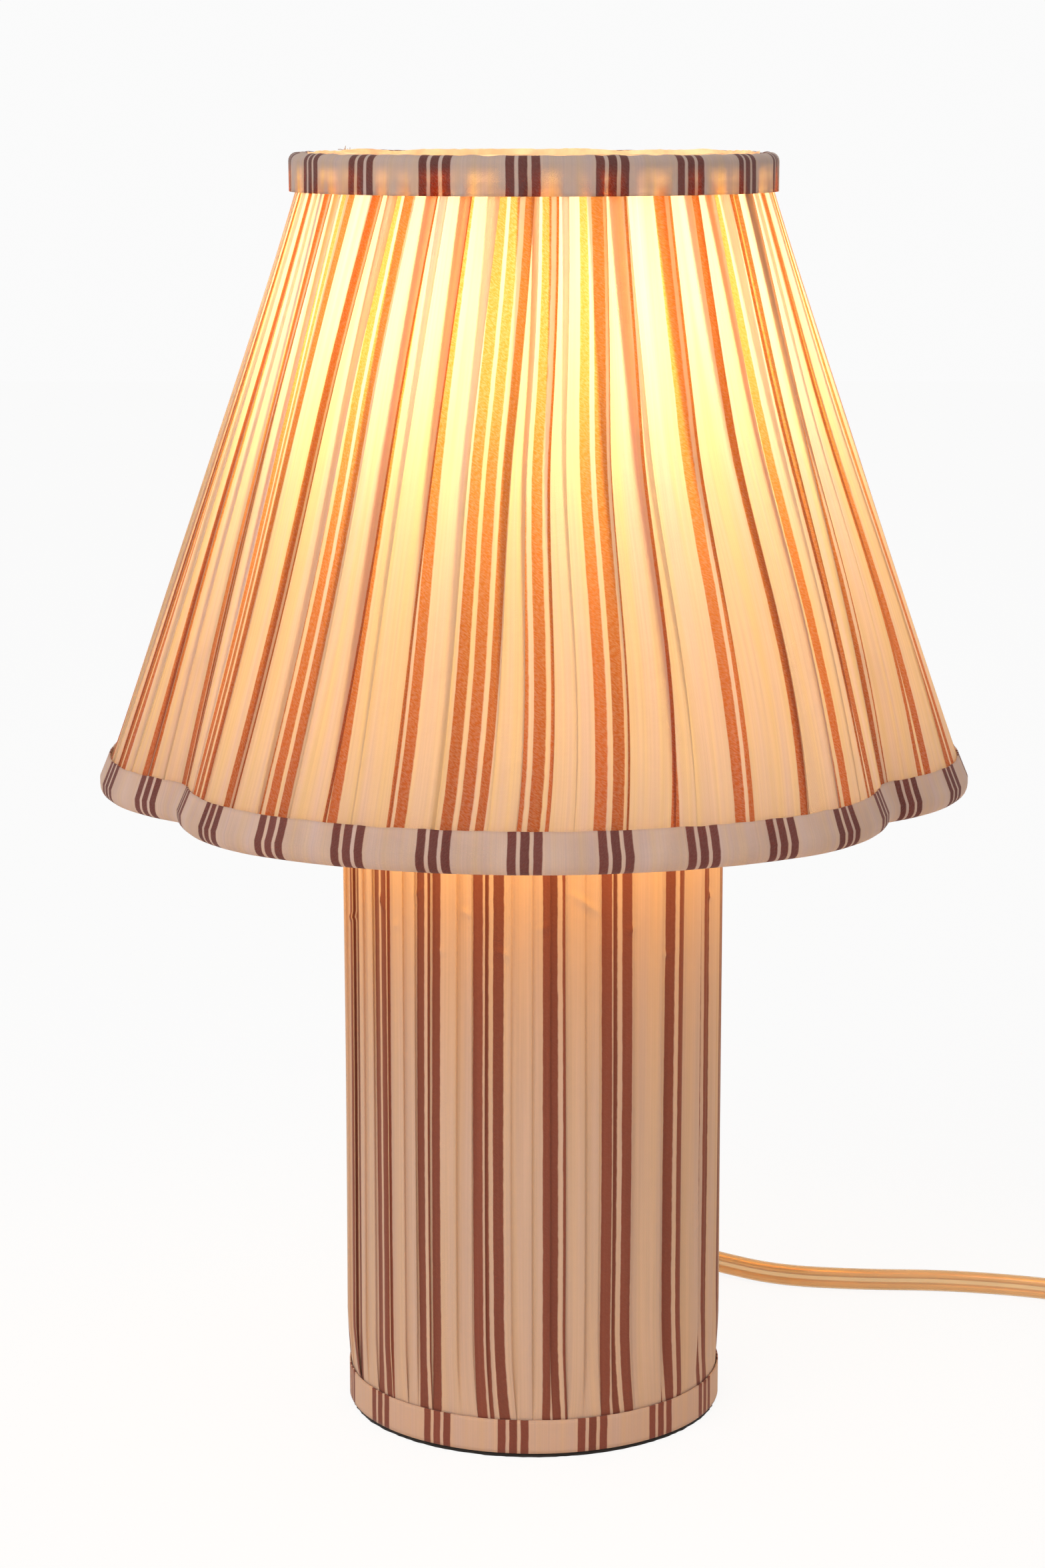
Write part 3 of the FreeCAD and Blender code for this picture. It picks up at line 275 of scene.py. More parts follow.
def newFinish(name):
    material = bpy.data.materials.new(name)
    material.use_nodes = True
    material.node_tree.nodes.clear()
    return material, material.node_tree


def addNode(tree, kind, inputs=(), **settings):
    node = tree.nodes.new(kind)
    for key, value in settings.items():
        setattr(node, key, value)
    for key, value in dict(inputs).items():
        if isinstance(value, bpy.types.NodeSocket):
            tree.links.new(value, node.inputs[key])
        else:
            node.inputs[key].default_value = value
    return node


def showFinish(material, surface):
    addNode(material.node_tree, "ShaderNodeOutputMaterial", {0: surface})
    return material


def maths(tree, operation, *values):
    return addNode(tree, "ShaderNodeMath", enumerate(values), operation=operation).outputs[0]


def ramp(tree, value, low, high, toLow, toHigh, smooth=False):
    inputs = {"Value": value, "From Min": low, "From Max": high, "To Min": toLow, "To Max": toHigh}
    kind = "SMOOTHSTEP" if smooth else "LINEAR"
    return addNode(tree, "ShaderNodeMapRange", inputs, interpolation_type=kind).outputs[0]


def blendColour(tree, factor, first, second, mode="MIX"):
    colours = [value if isinstance(value, bpy.types.NodeSocket) else (*value, 1.0)
               for value in (first, second)]
    inputs = {0: factor, 6: colours[0], 7: colours[1]}
    return addNode(tree, "ShaderNodeMix", inputs, data_type="RGBA", blend_type=mode).outputs[2]


def blendShaders(tree, share, first, second):
    return addNode(tree, "ShaderNodeMixShader", {0: share, 1: first, 2: second}).outputs[0]


def grey(tree, level):
    return addNode(tree, "ShaderNodeCombineColor", {0: level, 1: level, 2: level}).outputs[0]


def bumpOf(tree, strength, depth, height):
    inputs = {"Strength": strength, "Distance": depth, "Height": height}
    return addNode(tree, "ShaderNodeBump", inputs).outputs[0]


def noiseAt(tree, place, scale, detail=2.0):
    inputs = {"Vector": place, "Scale": scale, "Detail": detail}
    return addNode(tree, "ShaderNodeTexNoise", inputs).outputs[0]


def objectNoise(tree, scale, detail=2.0):
    return noiseAt(tree, addNode(tree, "ShaderNodeTexCoord").outputs["Object"], scale, detail)


# Screen levels from 0 to 255 as the linear values that nodes take
def linear(*levels):
    return tuple((c / 255 / 12.92) if c < 10.3 else ((c / 255 + 0.055) / 1.055) ** 2.4 for c in levels)


# Rays that show a thing to the eye, in a mirror or through glass, but not those that soak through cloth
def seenRays(tree):
    path = addNode(tree, "ShaderNodeLightPath").outputs
    clear = maths(tree, "SUBTRACT", path["Is Transmission Ray"], path["Is Diffuse Ray"])
    seen = maths(tree, "MAXIMUM", path["Is Camera Ray"], path["Is Glossy Ray"])
    return maths(tree, "MAXIMUM", seen, clear)


stripeCloth = {
    # in mm, apart from the number of stripes in a group
    "repeat": 23.4, "stripe": 2.35, "gap": 1.0, "stripes": 3, "edge": 0.12, "fray": 0.12, "yarn": 0.42,
    # streaks: times per repeat across, times per metre along, and detail; spans: levels of the noise
    "strayStreaks": (1.3, 90.0, 1.0), "frayStreaks": (30.0, 400.0, 2.0), "toneStreaks": (46.0, 14.0, 3.0),
    "warmStreaks": (7.0, 6.0, 2.0), "patchAlong": 30.0, "twillAcross": 2.2, "twillAlong": 0.7,
    "straySpan": (0.2, 0.8), "toneSpan": (0.3, 0.7), "warmSpan": (0.36, 0.64), "twillSpan": (0.32, 0.62),
    "patchSpan": (0.4, 0.6), "toneRange": (0.93, 1.05), "stripeRange": (0.88, 1.1),
    "cover": 0.97, "glowCover": 0.72,
    "coolTint": (0.975, 0.985, 1.05), "warmTint": (1.03, 1.01, 0.93),
    # The glow colours below blend with height on the cloth, from the low ground and stripe colours at the bottom to
    # paler, lighter ones at the top: painted light for the stronger light near the bulb.
    "glowGround": (0.96, 0.95, 0.98), "paintedLowGround": (0.98, 0.91, 0.81),
    "glowCool": (1.0, 0.985, 1.08), "glowWarm": (1.0, 1.0, 0.80),
    "glowStripe": (0.70, 0.20, 0.055), "paintedHighStripe": (0.94, 0.45, 0.10), "paintedLightFrom": 0.02, "paintedLightTo": 0.13,
    "weaveBump": 0.25, "weaveDepth": 0.08 * mm,
}
stripePitch = stripeCloth["stripe"] + stripeCloth["gap"]
groupWidth = stripePitch * stripeCloth["stripes"] - stripeCloth["gap"]
groupMiddle = groupWidth / 2 / stripeCloth["repeat"]  # in repeats


# Woven cloth with groups of stripes across the first coordinate of its own map, in repeats
def clothFinish(name, through, ground, stripe, stray=0.0025, paintedGlowPatches=None, innerThrough=None):
    cloth = stripeCloth
    material, tree = newFinish(name)
    calc, fade, mix = partial(maths, tree), partial(ramp, tree), partial(blendColour, tree)
    place = addNode(tree, "ShaderNodeUVMap", uv_map="cloth")
    split = addNode(tree, "ShaderNodeSeparateXYZ", {0: place.outputs[0]})
    repeats, length = split.outputs[0], split.outputs[1]

    def lumps(across, along, detail):
        spot = addNode(tree, "ShaderNodeCombineXYZ", {0: across, 1: along})
        return noiseAt(tree, spot.outputs[0], 1.0, detail)

    def streaks(across, along, detail):
        return lumps(calc("MULTIPLY", repeats, across), calc("MULTIPLY", length, along), detail)

    half, edge, fray = cloth["stripe"] / 2, cloth["edge"], cloth["fray"]
    strayed = calc("ADD", repeats, fade(streaks(*cloth["strayStreaks"]), *cloth["straySpan"], -stray, stray))
    flat = calc("MULTIPLY", calc("FRACT", strayed), cloth["repeat"])
    away = calc("ABSOLUTE", calc("SUBTRACT", calc("MODULO", flat, stripePitch), half))
    away = calc("ADD", away, fade(streaks(*cloth["frayStreaks"]), 0.0, 1.0, -fray, fray))
    inGroup = calc("LESS_THAN", flat, groupWidth + cloth["gap"] / 2)
    mask = calc("MULTIPLY", fade(away, half - edge, half + edge, 1.0, 0.0), inGroup)

    # Slanted breaks of the twill, where the pale yarn comes up through the dark one
    acrossCloth = calc("MULTIPLY", repeats, cloth["repeat"])
    alongCloth = calc("DIVIDE", length, mm)
    twill = lumps(calc("MULTIPLY", calc("ADD", acrossCloth, alongCloth), cloth["twillAcross"]),
                  calc("MULTIPLY", calc("SUBTRACT", acrossCloth, alongCloth), cloth["twillAlong"]), 1.0)

    # Yarns that differ in tone along and across, and stripes that differ from each other
    tone = fade(streaks(*cloth["toneStreaks"]), *cloth["toneSpan"], *cloth["toneRange"])
    warmth = fade(streaks(*cloth["warmStreaks"]), *cloth["warmSpan"], 0.0, 1.0)
    number = calc("ADD", calc("MULTIPLY", calc("FLOOR", strayed), cloth["stripes"]),
                  calc("FLOOR", calc("DIVIDE", flat, stripePitch)))
    each = addNode(tree, "ShaderNodeTexWhiteNoise", {"W": number}, noise_dimensions="1D")
    stripeTone = fade(each.outputs["Value"], 0.0, 1.0, *cloth["stripeRange"])

    def dyed(groundColour, stripeColour, cool, warm, leastCover):
        tinted = mix(1.0, groundColour, mix(warmth, cool, warm), "MULTIPLY")
        cover = calc("MULTIPLY", mask, fade(twill, *cloth["twillSpan"], leastCover, 1.0))
        striped = mix(cover, tinted, mix(1.0, stripeColour, grey(tree, stripeTone), "MULTIPLY"))
        return mix(1.0, striped, grey(tree, tone), "MULTIPLY")

    warp, weft = [calc("SINE", calc("MULTIPLY", way, 2 * math.pi / cloth["yarn"]))
                  for way in (acrossCloth, alongCloth)]
    bump = bumpOf(tree, cloth["weaveBump"], cloth["weaveDepth"], calc("MULTIPLY", warp, weft))
    surface = addNode(tree, "ShaderNodeBsdfPrincipled", {
        "Base Color": dyed(ground, stripe, cloth["coolTint"], cloth["warmTint"], cloth["cover"]),
        "Roughness": 0.82, "Specular IOR Level": 0.25, "Sheen Weight": 0.15, "Sheen Roughness": 0.4,
        "Normal": bump}).outputs[0]
    if through:
        # Painted light: the translucent colour is blended with height on the cloth, lighter and paler towards the top,
        # near the bulb.
        high = fade(length, cloth["paintedLightFrom"], cloth["paintedLightTo"], 0.0, 1.0)
        glowStripe = mix(high, cloth["glowStripe"], cloth["paintedHighStripe"])
        glowGround = mix(high, cloth["paintedLowGround"], cloth["glowGround"])
        colour = dyed(glowGround, glowStripe, cloth["glowCool"], cloth["glowWarm"], cloth["glowCover"])
        glow = addNode(tree, "ShaderNodeBsdfTranslucent", {"Color": colour, "Normal": bump})
        # Painted light: noise patches near the edge let more light through, standing in for bright spots of light from
        # behind, between the folds.
        if paintedGlowPatches:
            lit = streaks(paintedGlowPatches["across"], cloth["patchAlong"], 1.0)
            patches = fade(lit, *cloth["patchSpan"], 0.0, 1.0)
            near = fade(length, 0.0, paintedGlowPatches["reach"], paintedGlowPatches["share"], 0.0, smooth=True)
            through = calc("ADD", calc("MULTIPLY", patches, near), through)
        if innerThrough:
            inside = addNode(tree, "ShaderNodeNewGeometry").outputs["Backfacing"]
            seenInside = calc("MULTIPLY", inside, seenRays(tree))
            through = fade(seenInside, 0.0, 1.0, through, innerThrough)
        surface = blendShaders(tree, through, surface, glow.outputs[0])
    return showFinish(material, surface)


solidGrain = {"broader": 12.0, "broadDetail": 3.0, "broadSpan": (0.35, 0.65), "fineSpan": (0.3, 0.7),
              "roughDrift": 0.07, "leastRough": 0.02, "bump": 0.3}


# Solid finish whose colour and roughness drift a little over the surface, with a fine grain
def solidFinish(name, colour, roughness, grain=900.0, drift=0.06, bumpDepth=0.00002, **sockets):
    look = solidGrain
    material, tree = newFinish(name)
    broad, fine = objectNoise(tree, grain / look["broader"], look["broadDetail"]), objectNoise(tree, grain)
    darker = tuple(c * (1 - drift) for c in colour)
    lighter = tuple(min(c * (1 + drift), 1.0) for c in colour)
    smoother = max(roughness - look["roughDrift"], look["leastRough"])
    rougher = min(roughness + look["roughDrift"], 1.0)
    share = ramp(tree, broad, *look["broadSpan"], 0.0, 1.0)
    inputs = {"Base Color": blendColour(tree, share, darker, lighter),
              "Roughness": ramp(tree, fine, *look["fineSpan"], smoother, rougher),
              "Normal": bumpOf(tree, look["bump"], bumpDepth, fine)}
    inputs.update({key.replace("_", " "): value for key, value in sockets.items()})
    return showFinish(material, addNode(tree, "ShaderNodeBsdfPrincipled", inputs).outputs[0])


def metalFinish(name, colour, roughness):
    return solidFinish(name, colour, roughness, grain=600.0, drift=0.04, bumpDepth=0.000004, Metallic=1.0)


bulbLight = {"colour": (1.0, 0.60, 0.232), "strength": 14.6,
             "seenColour": (1.0, 0.86, 0.62), "seenStrength": 0.62,
             "glass": (0.60, 0.57, 0.50, 1.0), "roughness": 0.3,
             "haze": 60.0, "hazeSpan": (0.3, 0.7), "hazeRange": (0.96, 1.04)}


# The globe lights the shade at full strength, and is seen at a level that keeps its form
def globeFinish():
    light = bulbLight
    material, tree = newFinish("opalGlobe")
    haze = ramp(tree, objectNoise(tree, light["haze"]), *light["hazeSpan"], *light["hazeRange"])
    seen = addNode(tree, "ShaderNodeLightPath").outputs["Is Camera Ray"]
    level = ramp(tree, seen, 0.0, 1.0, light["strength"], light["seenStrength"])
    shader = addNode(tree, "ShaderNodeBsdfPrincipled", {
        "Base Color": light["glass"], "Roughness": light["roughness"],
        "Emission Color": blendColour(tree, seen, light["colour"], light["seenColour"]),
        "Emission Strength": maths(tree, "MULTIPLY", level, haze)})
    return showFinish(material, shader.outputs[0])


edgeLook = {"fibres": 140.0, "detail": 3.0, "span": (0.35, 0.65), "dark": (0.72, 0.52, 0.39),
            "pale": (0.88, 0.72, 0.56), "roughness": 0.85, "through": 0.45}


# Raw edge of the cover: pale loose fibres that let the light through
def rawEdgeFinish():
    look = edgeLook
    material, tree = newFinish("rawEdgeCloth")
    share = ramp(tree, objectNoise(tree, look["fibres"], look["detail"]), *look["span"], 0.0, 1.0)
    tone = blendColour(tree, share, look["dark"], look["pale"])
    inputs = {"Base Color": tone, "Roughness": look["roughness"]}
    surface = addNode(tree, "ShaderNodeBsdfPrincipled", inputs)
    glow = addNode(tree, "ShaderNodeBsdfTranslucent", {"Color": tone})
    return showFinish(material, blendShaders(tree, look["through"], surface.outputs[0], glow.outputs[0]))


finish = {
    "shade": clothFinish("shadeCloth", 0.68, (0.68, 0.44, 0.30), (0.26, 0.08, 0.05), innerThrough=0.2),
    "column": clothFinish("columnCloth", 0.0, linear(205, 171, 147), linear(130, 69, 53)),
    "tape": clothFinish("tapeCloth", 0.19, (0.79, 0.545, 0.43), (0.21, 0.066, 0.054), 0.012,
                        paintedGlowPatches={"reach": 0.5, "share": 0.15, "across": 1.9}),
    # Painted shade: the top tape, of the same cloth as the bottom tape, has darker colours and lets less light
    # through, to offset the stronger light from the bulb near it; its noise patches near the edge are painted light.
    "topTape": clothFinish("topTapeClothPaintedShade", 0.10, (0.57, 0.42, 0.355), (0.155, 0.054, 0.046), 0.008,
                           paintedGlowPatches={"reach": 0.0105, "share": 0.75, "across": 3.2}),
    "footTape": clothFinish("footTapeCloth", 0.0, linear(204, 169, 147), linear(128, 67, 53), 0.008),
    "felt": solidFinish("blackFelt", (0.02, 0.015, 0.012), 0.95, grain=2500.0, drift=0.3, bumpDepth=0.0002),
    "board": solidFinish("columnBoard", linear(196, 180, 156), 0.7),
    "wood": solidFinish("capWood", linear(198, 160, 120), 0.55, grain=300.0, drift=0.12),
    "holder": solidFinish("holderPlastic", linear(238, 234, 226), 0.4),
    "wire": solidFinish("wirePaint", linear(236, 232, 224), 0.45),
    "brass": metalFinish("brightBrass", linear(214, 176, 96), 0.25),
    "steel": metalFinish("zincSteel", linear(190, 190, 194), 0.32),
    "capMetal": metalFinish("bulbCapMetal", linear(205, 205, 208), 0.25),
    "ballast": solidFinish("castBallast", linear(70, 70, 72), 0.7, bumpDepth=0.0001),
    "insulator": solidFinish("blackGlass", linear(18, 18, 20), 0.15),
    "housing": solidFinish("bulbHousing", linear(240, 239, 235), 0.35),
    "globe": globeFinish(),
    "amber": solidFinish("amberPlastic", linear(222, 186, 130), 0.22, Coat_Weight=0.4, Coat_Roughness=0.1),
    "rocker": solidFinish("rockerPlastic", linear(200, 160, 104), 0.25, Coat_Weight=0.3),
    "jacket": solidFinish("clearJacket", linear(250, 219, 170), 0.12, drift=0.03,
                          Transmission_Weight=0.55, IOR=1.4),
    "copper": metalFinish("copperCore", linear(235, 177, 116), 0.3),
    "strap": solidFinish("wovenStrap", linear(40, 39, 38), 0.85, grain=3000.0, drift=0.25, bumpDepth=0.0001),
    "yarn": solidFinish("looseYarn", linear(214, 190, 170), 0.85),
    "rawEdge": rawEdgeFinish(),
}

nodeFinish = {
    "board": ["column_tube"],
    "wood": ["column_cap"],
    "ballast": ["base_weight"],
    "holder": ["holder_skirt", "holder_shell", "holder_insert", "shade_clamp_ring"],
    "brass": ["holder_screw_shell", "holder_contact", "switch_terminals", "plug_pin_left", "plug_pin_right"],
    "steel": ["lamp_nipple", "nipple_washer_lower", "nipple_washer_upper", "nipple_nut_lower",
              "nipple_nut_upper", "rocker_pin", "switch_screws"],
    "capMetal": ["bulb_tip", "bulb_cap"],
    "insulator": ["bulb_insulator"],
    "housing": ["bulb_housing"],
    "globe": ["bulb_globe"],
    "amber": ["cord_relief", "switch_base", "switch_cover"],
    "rocker": ["switch_rocker"],
    "wire": ["shade_bottom_ring", "shade_top_ring", "fitter_ring",
             *[f"{piece}_{number}" for piece in ("shade_strut", "fitter_arm") for number in (1, 2, 3)]],
}
for kind, names in nodeFinish.items():
    for name in names:
        node = frame["nodes"][name]
        node.data.materials.clear()
        node.data.materials.append(finish[kind])
print("finishes made:", len(finish))


# Camera, floor and light

photoView = {"distance": 1.01296, "height": 0.37805, "pitch": 10.783, "focalPixels": 5323.0,
             "pictureHeight": 2352, "axisOffset": 17.0, "sensor": 36.0}


def makeCamera():
    view = photoView
    data = bpy.data.cameras.new("photoCamera")
    data.sensor_fit = "VERTICAL"
    data.sensor_height = view["sensor"]
    data.lens = view["sensor"] * view["focalPixels"] / view["pictureHeight"]
    data.shift_x = -view["axisOffset"] / view["pictureHeight"]
    camera = bpy.data.objects.new("photoCamera", data)
    camera.location = (0.0, -view["distance"], view["height"])
    camera.rotation_euler = (math.radians(90.0 - view["pitch"]), 0.0, 0.0)
    scene.collection.objects.link(camera)
    scene.camera = camera


studio = {"worldColour": (1.0, 0.985, 0.965, 1.0), "worldStrength": 0.62, "backdrop": 0.962,
          "floorSide": 8.0, "floorColour": 0.9, "floorDrift": 0.01, "floorGrain": 3.0,
          "floorSpan": (0.3, 0.7), "floorPale": 0.9,
          "keyPower": 16.0, "keySize": 1.4, "keyPlace": (-1.0, -1.5, 1.5), "aim": (0.0, 0.0, 0.18)}
white = (1.0, 1.0, 1.0, 1.0)


# Seen rays find most of the floor as bright as the backdrop, and the rest as lit
def floorFinish():
    material, tree = newFinish("floorPaint")
    level, drift = studio["floorColour"], studio["floorDrift"]
    grain = objectNoise(tree, studio["floorGrain"])
    shade = ramp(tree, grain, *studio["floorSpan"], level - drift, level + drift)
    lit = addNode(tree, "ShaderNodeBsdfDiffuse", {"Color": grey(tree, shade)})
    pale = addNode(tree, "ShaderNodeEmission", {"Color": white, "Strength": 1.0})
    share = maths(tree, "MULTIPLY", seenRays(tree), studio["floorPale"])
    return showFinish(material, blendShaders(tree, share, lit.outputs[0], pale.outputs[0]))


# Light that the inside of the shade throws back on itself and down on the column
underGlow = {"size": 0.2,
             "down": 0.54, "downHeight": 0.1955, "downColour": (0.9, 0.46, 0.03),
             "up": 0.035, "upHeight": 0.2006, "upColour": (1.0, 0.44, 0.02),
             "mid": 0.35, "midColour": (0.93, 0.61, 0.17), "midSize": 0.034, "midPlace": (0.0, -0.014, 0.281)}


def addLamp(name, kind, power, place, **settings):
    data = bpy.data.lights.new(name, kind)
    data.energy = power
    for key, value in settings.items():
        setattr(data, key, value)
    lamp = bpy.data.objects.new(name, data)
    lamp.location = place
    scene.collection.objects.link(lamp)
    return lamp


def makeStudio():
    world = bpy.data.worlds.new("softStudio")
    scene.world = world
    world.use_nodes = True
    tree = world.node_tree
    tree.nodes.clear()
    light, pale = [addNode(tree, "ShaderNodeBackground", {"Color": colour, "Strength": strength}).outputs[0]
                   for colour, strength in ((studio["worldColour"], studio["worldStrength"]),
                                            (white, studio["backdrop"]))]
    addNode(tree, "ShaderNodeOutputWorld", {0: blendShaders(tree, seenRays(tree), light, pale)})

    half = studio["floorSide"] / 2
    floor = newPiece("studioFloor", [(-half, -half, 0), (half, -half, 0), (half, half, 0), (-half, half, 0)],
                     [(0, 1, 2, 3)])
    floor.data.materials.append(floorFinish())
    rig.stage(floor)

    key = addLamp("keyLight", "AREA", studio["keyPower"], studio["keyPlace"], size=studio["keySize"])
    key.rotation_euler = (Vector(studio["aim"]) - key.location).to_track_quat("-Z", "Y").to_euler()
    glow = underGlow
    lamps = []
    for way, turn in (("down", 0.0), ("up", math.pi)):
        lamp = addLamp(way + "Glow", "AREA", glow[way], (0.0, 0.0, glow[way + "Height"]), shape="DISK",
                       size=glow["size"], color=glow[way + "Colour"])
        lamp.rotation_euler = (turn, 0.0, 0.0)
        lamps.append(lamp)
    lamps.append(addLamp("midGlow", "POINT", glow["mid"], glow["midPlace"], shadow_soft_size=glow["midSize"],
                         color=glow["midColour"]))
    for lamp in lamps:
        lamp.visible_camera = False


makeCamera()
makeStudio()
scene.view_settings.view_transform = "Standard"
print("camera and studio made")


# Lead: out of the back of the column, round to the switch, a put-away coil and the plug

leadForm = {
    "width": 7.0 * mm, "thickness": 3.6 * mm, "core": 1.05 * mm, "length": 1.88,
    "waist": 35.0, "sideSteps": 9, "coreSteps": 6,
    "route": [(0, 78.5, 19.2), (0, 92.5, 19.2), (9, 108, 15), (24.6, 117, 10.4), (42.6, 116.5, 6.6),
              (61, 107, 4.3), (80, 95.5, 3.6), (108, 91.5, 3.5), (134, 91, 3.5), (165, 83.5, 3.5),
              (184, 71.5, 4), (192.5, 58, 6), (195, 44, 8.5), (195, 30, 8.5), (195, -30, 8.5),
              (195, -42, 8.5), (194.2, -56, 6), (195, -70, 4.5)],
    "tail": [(265.6, -48.9, 12.2), (261.5, -36, 9.6), (257.2, -22, 6.75), (253.8, -9.4, 6.75)],
    "coilMiddle": (236.45, -82.0), "coilRadius": 41.45, "turnStep": 4.3, "turns": 3,
    "lowLayer": 4.5, "highLayer": 12.2, "pointsPerTurn": 16, "leave": 30.0,
}


# In along the lower layer, up in half a turn and out along the upper one
def coilPoints():
    form = leadForm
    layer = 360.0 * form["turns"]
    whole = 2 * layer + 180.0 + form["leave"]
    step = 360.0 / form["pointsPerTurn"]
    swell = 1.0 / math.cos(math.radians(step / 2))
    points = []
    for number in range(round(whole / step) + 1):
        turned = min(number * step, whole)
        inward = min(turned, layer) - max(turned - layer - 180.0, 0.0)
        rise = clamped((turned - layer) / 180.0)
        radius = (form["coilRadius"] - form["turnStep"] * inward / 360.0) * swell
        spot = polar(radius, 180.0 + turned)
        height = form["lowLayer"] + (form["highLayer"] - form["lowLayer"]) * rise
        points.append((form["coilMiddle"][0] + spot.x, form["coilMiddle"][1] + spot.y, height))
    return points


def splinePoints(route):
    data = bpy.data.curves.new("routeLine", "CURVE")
    data.dimensions = "3D"
    data.resolution_u = 8
    spline = data.splines.new("NURBS")
    spline.points.add(len(route) - 1)
    for point, spot in zip(spline.points, route):
        point.co = (spot[0] * mm, spot[1] * mm, spot[2] * mm, 1.0)
    spline.order_u = 3
    spline.use_endpoint_u = True
    curve = bpy.data.objects.new("routeLine", data)
    scene.collection.objects.link(curve)
    bpy.context.view_layer.update()
    line = bpy.data.meshes.new_from_object(curve.evaluated_get(bpy.context.evaluated_depsgraph_get()))
    points = [vertex.co.copy() for vertex in line.vertices]
    bpy.data.objects.remove(curve)
    bpy.data.meshes.remove(line)
    return points


# A section of (across, up) points carried along a line, upright all the way
def carryAlong(name, line, section, sideFixed=None):
    rows = []
    for number, spot in enumerate(line):
        along = (line[min(number + 1, len(line) - 1)] - line[max(number - 1, 0)]).normalized()
        side = sideFixed or along.cross(Vector((0, 0, 1))).normalized()
        up = side.cross(along)
        rows.append([spot + side * across + up * rise for across, rise in section])
    return closeEnds(gridPiece(name, rows))


coreOffset = leadForm["width"] / 2 - leadForm["thickness"] / 2


def twinSection():
    radius, waist, steps = leadForm["thickness"] / 2, leadForm["waist"], leadForm["sideSteps"]
    section = []
    for first, height in ((-waist, coreOffset), (180.0 - waist, -coreOffset)):
        for step in range(steps + 1):
            spot = polar(radius, first + (180.0 + 2 * waist) * step / steps)
            section.append((spot.x, spot.y + height))
    return section


def coreSection(height):
    return [(spot.x, spot.y + height) for spot in ringOf(leadForm["core"], leadForm["coreSteps"])]


def makeLead():
    line = splinePoints(leadForm["route"] + coilPoints() + leadForm["tail"])
    lead = carryAlong("lead", line, twinSection())
    settle(lead, "lamp", "clear_lead", finish["jacket"], "cord_lead", "cord_link", "cord_coil", "cord_tail")
    cores = [carryAlong(f"leadCore.{number}", line, coreSection(height))
             for number, height in ((1, -coreOffset), (2, coreOffset))]
    for core in cores:
        settle(core, "lamp", "brass", finish["copper"])
    return lead, line, cores


lead, leadLine, leadCores = makeLead()
print("lead made:", len(leadLine), "points")


# Strap round the coil, where its solid is
strapForm = {"thickness": 0.7 * mm, "corner": 2.2 * mm, "cornerSteps": 6, "edge": 0.25 * mm}


def makeStrap():
    low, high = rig.box("coil_tie")
    corner, edge, steps = strapForm["corner"], strapForm["edge"], strapForm["cornerSteps"]
    inset = strapForm["thickness"] / 2
    near, far = low.y + inset + corner, high.y - inset - corner
    under, over = low.z + inset + corner, high.z - inset - corner
    line = []
    for y, z, first in ((far, under, -90.0), (far, over, 0.0), (near, over, 90.0), (near, under, 180.0)):
        for step in range(steps + 1):
            out = polar(1.0, first + 90.0 * step / steps)
            line.append((y + corner * out.x, z + corner * out.y, out.x, out.y))
    half, middle = (high.x - low.x) / 2, (high.x + low.x) / 2
    loop = [(-half + edge, -inset), (half - edge, -inset), (half, 0.0), (half - edge, inset),
            (-half + edge, inset), (-half, 0.0)]
    rows = [[Vector((middle + across, y + outY * out, z + outZ * out)) for y, z, outY, outZ in line]
            for across, out in loop]
    strap = closeEnds(gridPiece("coilStrap", rows, closedRows=True))
    return settle(strap, "lamp", "tie_plastic", finish["strap"], "coil_tie")


coilStrap = makeStrap()


# Moulded plug with a ribbed neck, and a sleeve on the root of each pin; mm from its cord end
plugForm = {"place": (253.8, -9.4), "turn": 15.0, "length": 37.0, "width": 35.0, "neckWidth": 12.0,
            "neckLength": 12.0, "shoulder": 25.0, "thickness": 13.5, "neckThickness": 10.4, "edge": 2.4,
            "ribs": 4, "rib": 0.5, "squareness": 3.4, "points": 44, "step": 0.5,
            "pinSpacing": 18.6, "sleeveSteps": 24,
            "sleeve": [(-0.5, 2.07), (9.2, 2.07), (9.5, 1.92)]}  # mm past the plug's face, and radius


def plugSpot(across, along, up):
    middle, form = Vector((across, along, 0.0)), plugForm
    turned = polar(middle.length, math.degrees(math.atan2(along, across)) + form["turn"])
    return Vector((form["place"][0] + turned.x, form["place"][1] + turned.y, form["thickness"] / 2 + up)) * mm


